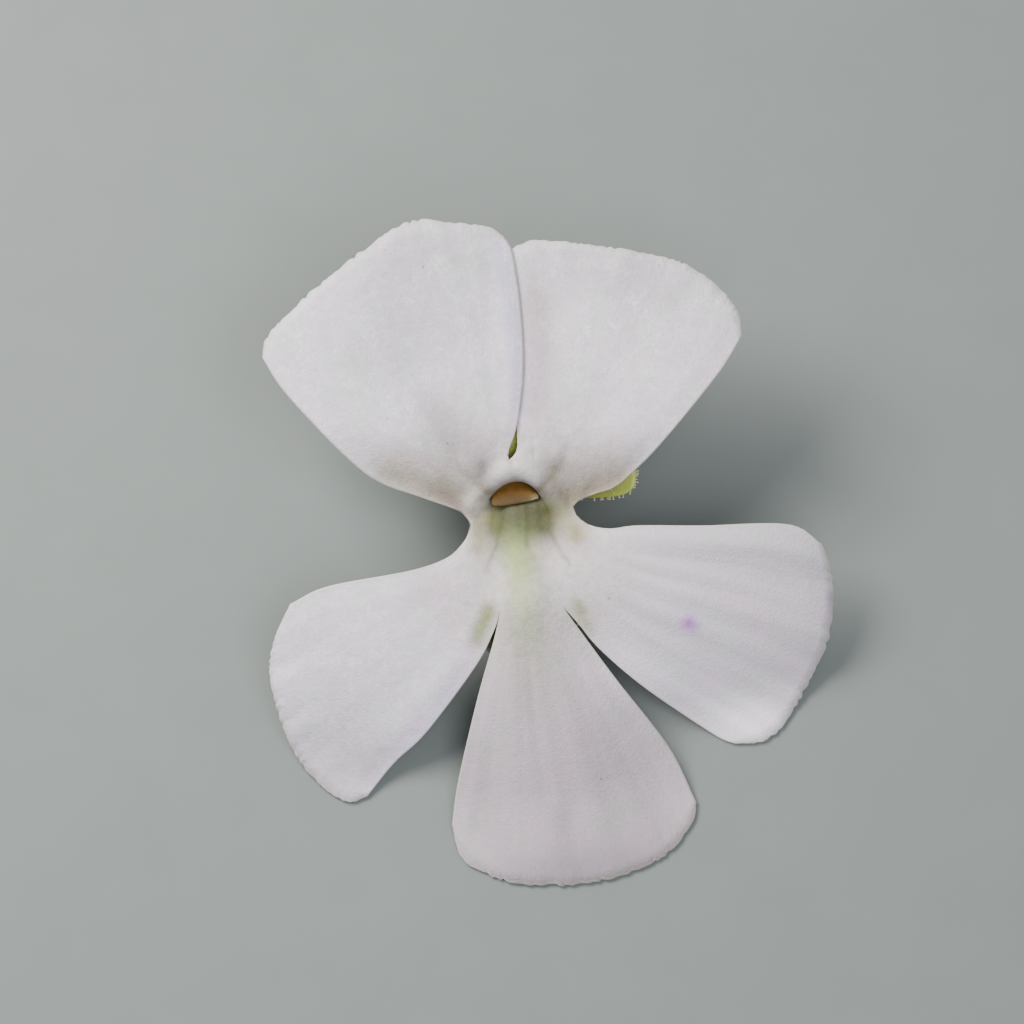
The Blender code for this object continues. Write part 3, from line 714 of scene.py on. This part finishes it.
# painted highlights: glinting cells brighten the colour
painted_glints = add(tree, "ShaderNodeMath", {"operation": "MULTIPLY"}, {0: glint_patches, 1: painted_spark_sizes})
grain_and_painted_glints = add(tree, "ShaderNodeMath", {"operation": "ADD"}, {0: grain_shade, 1: painted_glints})
calm = add(tree, "ShaderNodeMix", inputs={0: vein_fade, 2: grain_and_painted_glints, 3: 1.0})
shade = add(tree, "ShaderNodeMath", {"operation": "MULTIPLY"}, {0: vein_shade, 1: calm})

# A few dark specks of dust, some millimetres apart
specks = add(tree, "ShaderNodeTexVoronoi", inputs={"Vector": place, "Scale": 0.45})
dusted = add(
    tree,
    "ShaderNodeMapRange",
    inputs={
        "Value": specks, "From Min": 0.015, "From Max": 0.035, "To Min": 0.55, "To Max": 1.0,
    },
)
shade = add(tree, "ShaderNodeMath", {"operation": "MULTIPLY"}, {0: shade, 1: dusted})
shaded = add(tree, "ShaderNodeVectorMath", {"operation": "SCALE"}, {0: mottled, "Scale": shade})

# A hair-thin yellow-green margin
rim = add(
    tree,
    "ShaderNodeMapRange",
    inputs={"Value": inset, "From Min": 0.02, "From Max": 0.14, "To Min": 0.35, "To Max": 0.0},
)
rimmed = add(tree, "ShaderNodeMix", COLOURS, {0: rim, 6: shaded, 7: linear("#bcbb98")})
tree.links.new(rimmed.outputs[2], shader.inputs["Base Color"])

# The skin swells with the blotches, rises along the veins and is domed cell by cell
skin = add(tree, "ShaderNodeMath", {"operation": "MULTIPLY_ADD"}, {0: blotch, 1: 4.0, 2: grain})
skin_veins = add(tree, "ShaderNodeMath", {"operation": "MULTIPLY_ADD"}, {0: vein_shade, 1: 6.0, 2: skin})
domes = add(tree, "ShaderNodeMath", {"operation": "SUBTRACT"}, {0: skin_veins, 1: cells})
relief_bump = add(tree, "ShaderNodeBump", inputs={"Strength": 0.35, "Distance": 0.04 * MM, "Height": domes})
tree.links.new(relief_bump.outputs[0], shader.inputs["Normal"])


def add_piece(name, builder, finish, node):
    """Makes the finished piece that stands for a CAD node."""
    bmesh.ops.recalc_face_normals(builder, faces=builder.faces)
    mesh = bpy.data.meshes.new(name)
    builder.to_mesh(mesh)
    builder.free()
    mesh.shade_smooth()
    mesh.materials.append(finish)
    piece = bpy.data.objects.new(name, mesh)
    bpy.context.scene.collection.objects.link(piece)
    if node:
        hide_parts(node)
    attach(piece, "root")
    return piece


def give_body(piece, thickness):
    """Gives a sheet of tissue its thickness, less at its margins."""
    piece.vertex_groups.new(name="body")
    body = piece.modifiers.new("tissue", "SOLIDIFY")
    body.thickness = thickness * MM
    body.offset = 0
    body.vertex_group = "body"
    body.thickness_vertex_group = 0.35  # the margins' share of it


corolla = add_piece("white_corolla", builder, petal_tissue, "corolla")
give_body(corolla, PETAL_THICKNESS)


# ---- Pistil ----
# A round ovary on a short foot in the bottom of the tube, a thick style, and the stigma: a velvety brown
# flap that hangs under the collar and shuts the throat. Ovary and style are drawn ring by ring, the flap is
# a grid.


def drawn_body(builder, stations, sides):
    """A closed body drawn out ring by ring; each station is a centre, a half width and a half height."""
    turn = builder.verts.layers.float.get("turn") or builder.verts.layers.float.new("turn")
    ways = directions([s[0] for s in stations])
    made = bmesh.ops.create_circle(builder, cap_ends=True, segments=sides, radius=1)["verts"]
    for vert in made:
        vert[turn] = math.degrees(math.atan2(vert.co.y, vert.co.x))
    edges = [e for e in builder.edges if e.is_boundary and e.verts[0] in made]
    bodies = list(made)
    for number, ((centre, half_width, half_height), way) in enumerate(zip(stations, ways)):
        if number:
            drawn = bmesh.ops.extrude_edge_only(builder, edges=edges)["geom"]
            edges = [e for e in drawn if isinstance(e, bmesh.types.BMEdge) and e.is_boundary]
            made = list({v for e in edges for v in e.verts})
            bodies += made
        for vert in made:
            vert.co = laid(ring(centre, way, half_width, half_height, [vert[turn]])[0])
    bmesh.ops.edgeloop_fill(builder, edges=edges)
    return bodies


STIGMA_HALF = 1.07  # half the flap's width
STIGMA_THICKNESS = 0.16


def stigma_point(s, t):
    """A point of the flap: s from -1 at its left end to 1, t from 0 at the lower lip to 1 at the top."""
    top = 0.90 + 0.02 * s - 0.58 * s * s
    bottom = -0.20 + 0.17 * s + 0.10 * abs(s) ** 4
    y = bottom + (top - bottom) * t
    z = -0.88 - 0.04 * s + 0.06 * s * s - 0.14 * smoothstep(0.4, 1.0, t)
    z += 0.03 * bump(t - 0.12, 0.14) - 0.03 * bump(t - 0.36, 0.12)
    return Vector((-0.04 + STIGMA_HALF * s * (1 - 0.06 * abs(2 * t - 1) ** 3), y, z))


# Velvet: fine blunt papillae that swallow the light, brown, more orange towards the top and darkened at the
# very top with painted shade under the collar, with a painted highlight at the right end of the lip.
velvet, tree, shader = new_material(
    "velvety stigma skin",
    Roughness=0.8,
    Specular_IOR_Level=0.15,
    Subsurface_Weight=0.06,
    Subsurface_Radius=(1.0, 0.5, 0.25),
    Subsurface_Scale=0.2 * MM,
)
height_on_flap = add(tree, "ShaderNodeAttribute", {"attribute_name": "up_the_flap"}).outputs["Fac"]
place = add(tree, "ShaderNodeAttribute", {"attribute_name": "face_place"}).outputs["Vector"]
patchy = add(
    tree, "ShaderNodeTexNoise", inputs={"Vector": place, "Scale": 3.0, "Detail": 5.0, "Roughness": 0.75}
)
wander = add(tree, "ShaderNodeMath", {"operation": "MULTIPLY_ADD"}, {0: patchy, 1: 0.50, 2: height_on_flap})
# brown up the flap, with painted shade at its top
brown_and_painted_shade = add(tree, "ShaderNodeValToRGB", inputs={0: wander})
ramp = brown_and_painted_shade.color_ramp
ramp.elements[0].position, ramp.elements[0].color = 0.27, linear("#56472b")
ramp.elements[1].position, ramp.elements[1].color = 1.0, linear("#604318")
for position, hue in ((0.40, "#635036"), (0.55, "#6c5538"), (0.74, "#7b5a2e"), (0.88, "#6f4e20")):
    step = ramp.elements.new(position)
    step.color = linear(hue)
# a painted highlight at the right end of the lip
painted_highlight_end = add(tree, "ShaderNodeAttribute", {"attribute_name": "painted_highlight_end"}).outputs["Fac"]
brown = add(tree, "ShaderNodeMix", COLOURS, {0: painted_highlight_end, 6: brown_and_painted_shade, 7: linear("#9a9268")})
tree.links.new(brown.outputs[2], shader.inputs["Base Color"])
papillae = add(tree, "ShaderNodeTexVoronoi", inputs={"Vector": place, "Scale": 14.0})
nap = add(
    tree, "ShaderNodeBump", {"invert": True}, {"Strength": 0.7, "Distance": 0.03 * MM, "Height": papillae}
)
tree.links.new(nap.outputs[0], shader.inputs["Normal"])

builder = bmesh.new()
up_the_flap = builder.verts.layers.float.new("up_the_flap")
facing = builder.verts.layers.float_vector.new("face_place")
painted_highlight_end = builder.verts.layers.float.new("painted_highlight_end")
flap = bmesh.ops.create_grid(builder, x_segments=18, y_segments=9, size=1)["verts"]
for vert in flap:
    t = (vert.co.y + 1) / 2
    vert[up_the_flap] = t
    # the painted highlight at the right end of the lip
    vert[painted_highlight_end] = 0.8 * bump(vert.co.x - 0.9, 0.22) * bump(t - 0.15, 0.30)
    vert[facing] = stigma_point(vert.co.x, t)
    vert.co = laid(vert[facing])
bmesh.ops.recalc_face_normals(builder, faces=builder.faces)
bmesh.ops.solidify(builder, geom=builder.faces[:], thickness=STIGMA_THICKNESS * MM)
OVARY = [  # and the style above it, up to the back of the flap
    ((0.0, 0.36, -4.78), 0.26, 0.26),
    ((0.0, 0.27, -4.60), 0.25, 0.25),
    ((0.0, 0.18, -4.44), 0.32, 0.30),
    ((0.0, 0.05, -4.28), 0.46, 0.43),
    ((0.0, -0.04, -4.08), 0.60, 0.56),
    ((0.0, -0.10, -3.86), 0.69, 0.65),
    ((0.0, -0.10, -3.64), 0.71, 0.67),
    ((0.0, -0.05, -3.44), 0.65, 0.61),
    ((0.0, 0.04, -3.26), 0.53, 0.48),
    ((0.0, 0.18, -3.08), 0.40, 0.35),
    ((0.0, 0.34, -2.88), 0.34, 0.28),
    ((0.0, 0.48, -2.65), 0.36, 0.24),
    ((0.0, 0.60, -2.35), 0.45, 0.20),
    ((0.0, 0.66, -2.00), 0.58, 0.16),
    ((0.0, 0.64, -1.70), 0.66, 0.13),
    ((0.0, 0.60, -1.35), 0.64, 0.10),
    ((0.0, 0.58, -1.02), 0.60, 0.08),
]
for vert in drawn_body(builder, OVARY, 24):
    vert[up_the_flap] = 0.7
    vert[facing] = vert.co / MM
pistil = add_piece("brown_pistil", builder, velvet, "pistil")
rounded = pistil.modifiers.new("rounded", "SUBSURF")
rounded.levels = rounded.render_levels = 2

# ---- Stamens ----
# Two, side by side under the stigma: a pale curved filament from the tube's floor and a round cream anther.
# Each is drawn out ring by ring and hidden by the flap.
pollen_sac, tree, shader = new_material("pollen-dusted anther", Roughness=0.85)
place = add(tree, "ShaderNodeTexCoord").outputs["Object"]
dust = add(tree, "ShaderNodeTexVoronoi", inputs={"Vector": place, "Scale": 12.0 / MM})
grains = add(tree, "ShaderNodeMapRange", inputs={"Value": dust, "From Max": 0.6})
pollen = add(tree, "ShaderNodeMix", COLOURS, {0: grains, 6: linear("#d8c68e"), 7: linear("#b39c5d")})
tree.links.new(pollen.outputs[2], shader.inputs["Base Color"])
heaped = add(
    tree, "ShaderNodeBump", {"invert": True}, {"Strength": 0.8, "Distance": 0.02 * MM, "Height": dust}
)
tree.links.new(heaped.outputs[0], shader.inputs["Normal"])

STAMEN = [  # for the right stamen; the left one mirrors x
    ((0.55, -0.98, -3.44), 0.12, 0.12),
    ((0.58, -1.00, -3.30), 0.11, 0.11),
    ((0.61, -0.95, -3.12), 0.11, 0.11),
    ((0.62, -0.84, -2.96), 0.12, 0.11),
    ((0.61, -0.70, -2.84), 0.16, 0.14),
    ((0.60, -0.54, -2.75), 0.21, 0.18),
    ((0.60, -0.38, -2.68), 0.23, 0.19),
    ((0.60, -0.22, -2.61), 0.21, 0.17),
    ((0.58, -0.10, -2.55), 0.14, 0.11),
    ((0.58, -0.05, -2.52), 0.06, 0.05),
]
for side, sign in (("left", -1), ("right", 1)):
    builder = bmesh.new()
    drawn_body(builder, [((sign * c[0], c[1], c[2]), w, h) for c, w, h in STAMEN], 16)
    add_piece(f"{side}_stamen", builder, pollen_sac, f"stamen_{side}")

# ---- Sepals ----
# Five blunt green blades joined at the receptacle, three above and two below. Each is a grid that cups the
# tube, thickest along its midrib and thin at the margin, and sticky all over with stalked glands.
RECEPTACLE = Vector((0.0, 0.50, -5.10))
RECEPTACLE_AXIS = Vector((0.0, -0.45, 0.89))
SEPAL_THICKNESS = 0.30
SEPALS = {  # the angle at which each leaves the receptacle, its width, and the line down its middle
    "upper_right": (12, 1.9, [(2.25, 1.0, -4.35), (3.3, 1.05, -3.1), (4.45, 1.1, -2.1), (5.4, 0.98, -1.4)]),
    "upper_middle": (
        92,
        2.0,
        [
            (0.0, 2.05, -3.8), (0.0, 1.85, -2.2), (0.0, 1.85, -1.1), (0.0, 2.4, -0.5), (-0.05, 3.4, -0.3),
            (-0.1, 4.7, -0.4),
        ],
    ),
    "upper_left": (163, 2.0, [(-2.2, 1.15, -4.4), (-3.1, 1.4, -3.1), (-4.2, 1.7, -2.1), (-5.1, 1.9, -1.4)]),
    "lower_left": (
        222, 1.1, [(-1.65, -1.2, -4.9), (-1.84, -2.5, -3.92), (-1.85, -4.1, -2.62), (-1.87, -6.0, -1.55)],
    ),
    "lower_right": (
        320, 1.4, [(1.85, -1.1, -4.85), (2.2, -2.3, -3.9), (2.65, -3.8, -2.7), (3.05, -5.5, -1.6)],
    ),
}
SEPAL_ROWS, SEPAL_COLUMNS = 36, 14
MARGIN_GLANDS, BLADE_GLANDS = 0.5, 0.12  # share of the grid's points that carry one

# Leafy tissue: dark green at the foot, yellower towards the tip and the thin margin, finely pitted.
green_blade, tree, shader = new_material(
    "glandular green sepal",
    Roughness=0.5,
    IOR=1.4,
    Subsurface_Weight=0.2,
    Subsurface_Radius=(0.8, 1.0, 0.3),
    Subsurface_Scale=0.3 * MM,
)
up_the_blade = add(tree, "ShaderNodeAttribute", {"attribute_name": "up_the_blade"}).outputs["Fac"]
place = add(tree, "ShaderNodeAttribute", {"attribute_name": "face_place"}).outputs["Vector"]
flecks = add(
    tree, "ShaderNodeTexNoise", inputs={"Vector": place, "Scale": 5.0, "Detail": 4.0, "Roughness": 0.7}
)
ripe = add(tree, "ShaderNodeMath", {"operation": "MULTIPLY_ADD"}, {0: flecks, 1: 0.5, 2: up_the_blade})
leaf_green = add(tree, "ShaderNodeValToRGB", inputs={0: ripe})
ramp = leaf_green.color_ramp
ramp.elements[0].position, ramp.elements[0].color = 0.2, linear("#626a30")
ramp.elements[1].position, ramp.elements[1].color = 1.2, linear("#b4bc5e")
middle = ramp.elements.new(0.75)
middle.color = linear("#8f974c")
blade_rim = add(tree, "ShaderNodeAttribute", {"attribute_name": "rim_of_blade"}).outputs["Fac"]
pale_rim = add(tree, "ShaderNodeMix", COLOURS, {0: blade_rim, 6: leaf_green, 7: linear("#c6ce62")})
tree.links.new(pale_rim.outputs[2], shader.inputs["Base Color"])
pores = add(tree, "ShaderNodeTexVoronoi", inputs={"Vector": place, "Scale": 6.0})
skin = add(
    tree, "ShaderNodeBump", {"invert": True}, {"Strength": 0.5, "Distance": 0.04 * MM, "Height": pores}
)
tree.links.new(skin.outputs[0], shader.inputs["Normal"])

random.seed(11)
GLAND_SEATS = {"sepals": [], "stalk": [], "spur": []}  # foot, way and height of each stalked gland
for name, (direction, width, middle_line) in SEPALS.items():
    turned = math.radians(direction)
    outward = Vector((math.cos(turned), math.sin(turned), 0))
    axis = RECEPTACLE_AXIS.normalized()
    outward = (outward - axis * outward.dot(axis)).normalized()
    upper_side = Vector((0, 0, 1)) - outward * 0.6  # the cupped side faces forward and inward
    line = smooth_line([RECEPTACLE + outward * 0.98, *middle_line], SEPAL_ROWS + 1)
    ways = directions(line)
    builder = bmesh.new()
    body_weight = builder.verts.layers.deform.verify()
    up_the_blade = builder.verts.layers.float.new("up_the_blade")
    rim_of_blade = builder.verts.layers.float.new("rim_of_blade")
    facing = builder.verts.layers.float_vector.new("face_place")
    made = bmesh.ops.create_grid(builder, x_segments=SEPAL_COLUMNS, y_segments=SEPAL_ROWS, size=1)["verts"]
    for vert in made:
        u, v = vert.co.x, (vert.co.y + 1) / 2
        row = round(v * SEPAL_ROWS)
        way = ways[row]
        lift = upper_side - way * way.dot(upper_side)
        sideways = way.cross(lift).normalized()
        inward = sideways.cross(way)
        half = width / 2 * (0.38 + 0.62 * smoothstep(0.0, 0.6, v))
        half *= math.sqrt(1 - 0.85 * max(0.0, (v - 0.6) / 0.4) ** 4)
        wave = 0.04 * math.sin(9 * v + direction) * u
        point = line[row] + sideways * half * u + inward * (0.22 * half * u * u + wave)
        vert.co = laid(point)
        vert[facing] = point
        vert[up_the_blade] = v
        edge = min((1 - abs(u)) * half, (1 - v) * 5)
        vert[body_weight][0] = smoothstep(0.0, 0.5, edge)
        vert[rim_of_blade] = 1 - smoothstep(0.0, 0.25, edge)
        out = sideways * u
        if v == 1:
            out = out * 0.5 + way
        elif abs(u) < 1:
            out = inward * random.choice((-1, 1))
        on_margin = abs(u) == 1 or v == 1
        if v > 0.15 and random.random() < (MARGIN_GLANDS if on_margin else BLADE_GLANDS):
            seat = point + way * random.uniform(-0.06, 0.06)
            GLAND_SEATS["sepals"].append((seat, out, random.uniform(0.04, 0.09)))
    sepal = add_piece(f"{name}_sepal", builder, green_blade, f"sepal_{name}")
    give_body(sepal, SEPAL_THICKNESS)

# ---- Stalk ----
# The juicy flower stalk, bent sharply behind the calyx where it lies on the surface, and cut across. It is
# drawn out ring by ring from the receptacle, a little uneven, with a paler pith in the cut.
STALK_RADIUS = 0.45
STALK_STEPS = 70
STALK_GLANDS, SPUR_GLANDS = 260, 110
rest = (STALK_RADIUS - THROAT_AT.z) / math.cos(LEAN)  # face-frame height of a resting axis at y = 0
stations = []
for down, half in ((-0.02, 0.45), (0.05, 0.63), (0.16, 0.69), (0.30, 0.69), (0.46, 0.61), (0.62, 0.50)):
    stations.append((RECEPTACLE - RECEPTACLE_AXIS * down, half, half))
route = [
    (0.02, 0.92, -5.95),
    (0.12, 1.32, -6.30),
    (0.30, 1.22, rest - 1.22 * math.tan(LEAN) + 0.04),
]
for x, y in ((0.5, 0.4), (0.78, -1.0), (1.2, -3.5), (1.65, -6.0), (1.95, -8.5), (2.05, -10.5)):
    route.append((x, y, rest - y * math.tan(LEAN)))
for step, centre in enumerate(smooth_line(route, STALK_STEPS)):
    half = STALK_RADIUS * min(1.0, 1 + 0.03 * math.sin(step * 0.45) + 0.02 * math.sin(step * 1.1))
    stations.append((centre, half, half))

# Juicy stalk: fine ribs along it, green with a reddish flush in places; the cut end is pale wet pith.
green_stalk, tree, shader = new_material(
    "juicy green stalk",
    Roughness=0.45,
    IOR=1.4,
    Subsurface_Weight=0.2,
    Subsurface_Radius=(0.8, 1.0, 0.3),
    Subsurface_Scale=0.4 * MM,
)
place = add(tree, "ShaderNodeTexCoord").outputs["Object"]
ribs_run = add(tree, "ShaderNodeMapping", inputs={"Vector": place, "Scale": (6.0 / MM, 0.4 / MM, 6.0 / MM)})
ribs = add(tree, "ShaderNodeTexNoise", inputs={"Vector": ribs_run, "Scale": 1.0, "Detail": 3.0})
flush = add(tree, "ShaderNodeTexNoise", inputs={"Vector": place, "Scale": 0.5 / MM, "Detail": 2.0})
sap_green = add(tree, "ShaderNodeMix", COLOURS, {0: ribs, 6: linear("#5c682a"), 7: linear("#87904a")})
blush = add(
    tree, "ShaderNodeMapRange", inputs={"Value": flush, "From Min": 0.5, "From Max": 0.75, "To Max": 0.5}
)
reddened = add(tree, "ShaderNodeMix", COLOURS, {0: blush, 6: sap_green, 7: linear("#6e4a35")})
tree.links.new(reddened.outputs[2], shader.inputs["Base Color"])
ribbed = add(tree, "ShaderNodeBump", inputs={"Strength": 0.5, "Distance": 0.05 * MM, "Height": ribs})
tree.links.new(ribbed.outputs[0], shader.inputs["Normal"])

cut_flesh, tree, shader = new_material("wet cut pith", Roughness=0.25, IOR=1.4)
place = add(tree, "ShaderNodeTexCoord").outputs["Object"]
pith = add(tree, "ShaderNodeTexVoronoi", inputs={"Vector": place, "Scale": 9.0 / MM})
pale = add(tree, "ShaderNodeMix", COLOURS, {0: pith, 6: linear("#b9c08a"), 7: linear("#98a262")})
tree.links.new(pale.outputs[2], shader.inputs["Base Color"])

builder = bmesh.new()
drawn_body(builder, stations, 24)
cut = min((f for f in builder.faces if len(f.verts) == 24), key=lambda f: f.calc_center_median().y)
bmesh.ops.inset_region(builder, faces=[cut], thickness=0.06 * MM, depth=0)
bmesh.ops.inset_region(builder, faces=[cut], thickness=0.10 * MM, depth=-0.03 * MM)
bmesh.ops.inset_region(builder, faces=[cut], thickness=0.12 * MM, depth=0.02 * MM)
for face in [cut, *(f for e in cut.edges for f in e.link_faces)]:
    face.material_index = 1
stalk = add_piece("cut_stalk", builder, green_stalk, "stalk")
stalk.data.materials.append(cut_flesh)
stalk.data.set_sharp_from_angle(angle=math.radians(60))


def seat_glands(host, path, count, first, share, skin, clearance, heights):
    """Seats glands at random round a path, from one of its rings on, wherever they would clear the table."""
    ways = directions([c for c, _, _ in path])
    for _ in range(count):
        number = random.randrange(first, len(path) - 1)
        centre, half, _ = path[number]
        radius = half * share + skin
        foot = ring(centre, ways[number], radius, radius, [random.uniform(0, 360)])[0]
        if laid(foot).z > clearance * MM:
            GLAND_SEATS[host].append((foot, foot - Vector(centre), random.uniform(*heights)))


seat_glands("stalk", stations, STALK_GLANDS, 2, 0.97, 0.0, 0.30, (0.12, 0.26))
seat_glands("spur", TUBE, SPUR_GLANDS, 4, 1.0, 0.13, 0.50, (0.10, 0.18))

# ---- Stalked glands ----
# Short clear hairs, each with a round sticky head, on the sepals, the stalk and the spur. One hair is a cone
# with a ball on it, copied to every seat, and each kind of seat has its hairs in one piece.
clear_glue, tree, shader = new_material(
    "clear sticky gland",
    Roughness=0.2,
    IOR=1.4,
    Subsurface_Weight=0.4,
    Subsurface_Radius=(1.0, 1.0, 0.5),
    Subsurface_Scale=0.1 * MM,
)
place = add(tree, "ShaderNodeTexCoord").outputs["Object"]
variety = add(tree, "ShaderNodeTexNoise", inputs={"Vector": place, "Scale": 1.5 / MM, "Detail": 1.0})
honey = add(tree, "ShaderNodeMix", COLOURS, {0: variety, 6: linear("#c9cf8e"), 7: linear("#e2e2b8")})
tree.links.new(honey.outputs[2], shader.inputs["Base Color"])

HAIR_TOP = 0.88  # where the ball sits on a hair one unit tall; the hair is stretched, the ball isn't
builder = bmesh.new()
bmesh.ops.create_cone(
    builder, segments=5, radius1=0.045, radius2=0.022, depth=0.9, matrix=Matrix.Translation((0, 0, 0.43))
)
head = bmesh.ops.create_icosphere(builder, subdivisions=1, radius=0.046)["verts"]
bmesh.ops.translate(builder, verts=head, vec=(0, 0, 0.93))
one_gland = bpy.data.meshes.new("one_gland")
builder.to_mesh(one_gland)
builder.free()
for host, slot in (("sepals", "sepal"), ("stalk", "stalk"), ("spur", "petal")):
    builder = bmesh.new()
    for foot, way, height in GLAND_SEATS[host]:
        known = len(builder.verts)
        builder.from_mesh(one_gland)
        builder.verts.ensure_lookup_table()
        made = builder.verts[known:]
        at, towards = laid(foot), laid(foot + way) - laid(foot)
        towards += Vector([random.uniform(-0.25, 0.25) * towards.length for _ in range(3)])
        aim = towards.to_track_quat("Z", "Y").to_matrix().to_4x4()
        for vert in made:
            ball = max(0.0, vert.co.z - HAIR_TOP)
            z = vert.co.z * height if not ball else HAIR_TOP * height + ball
            vert.co = at + aim @ Vector((vert.co.x * MM, vert.co.y * MM, z * MM))
    add_piece(f"{host}_glands", builder, clear_glue, None)
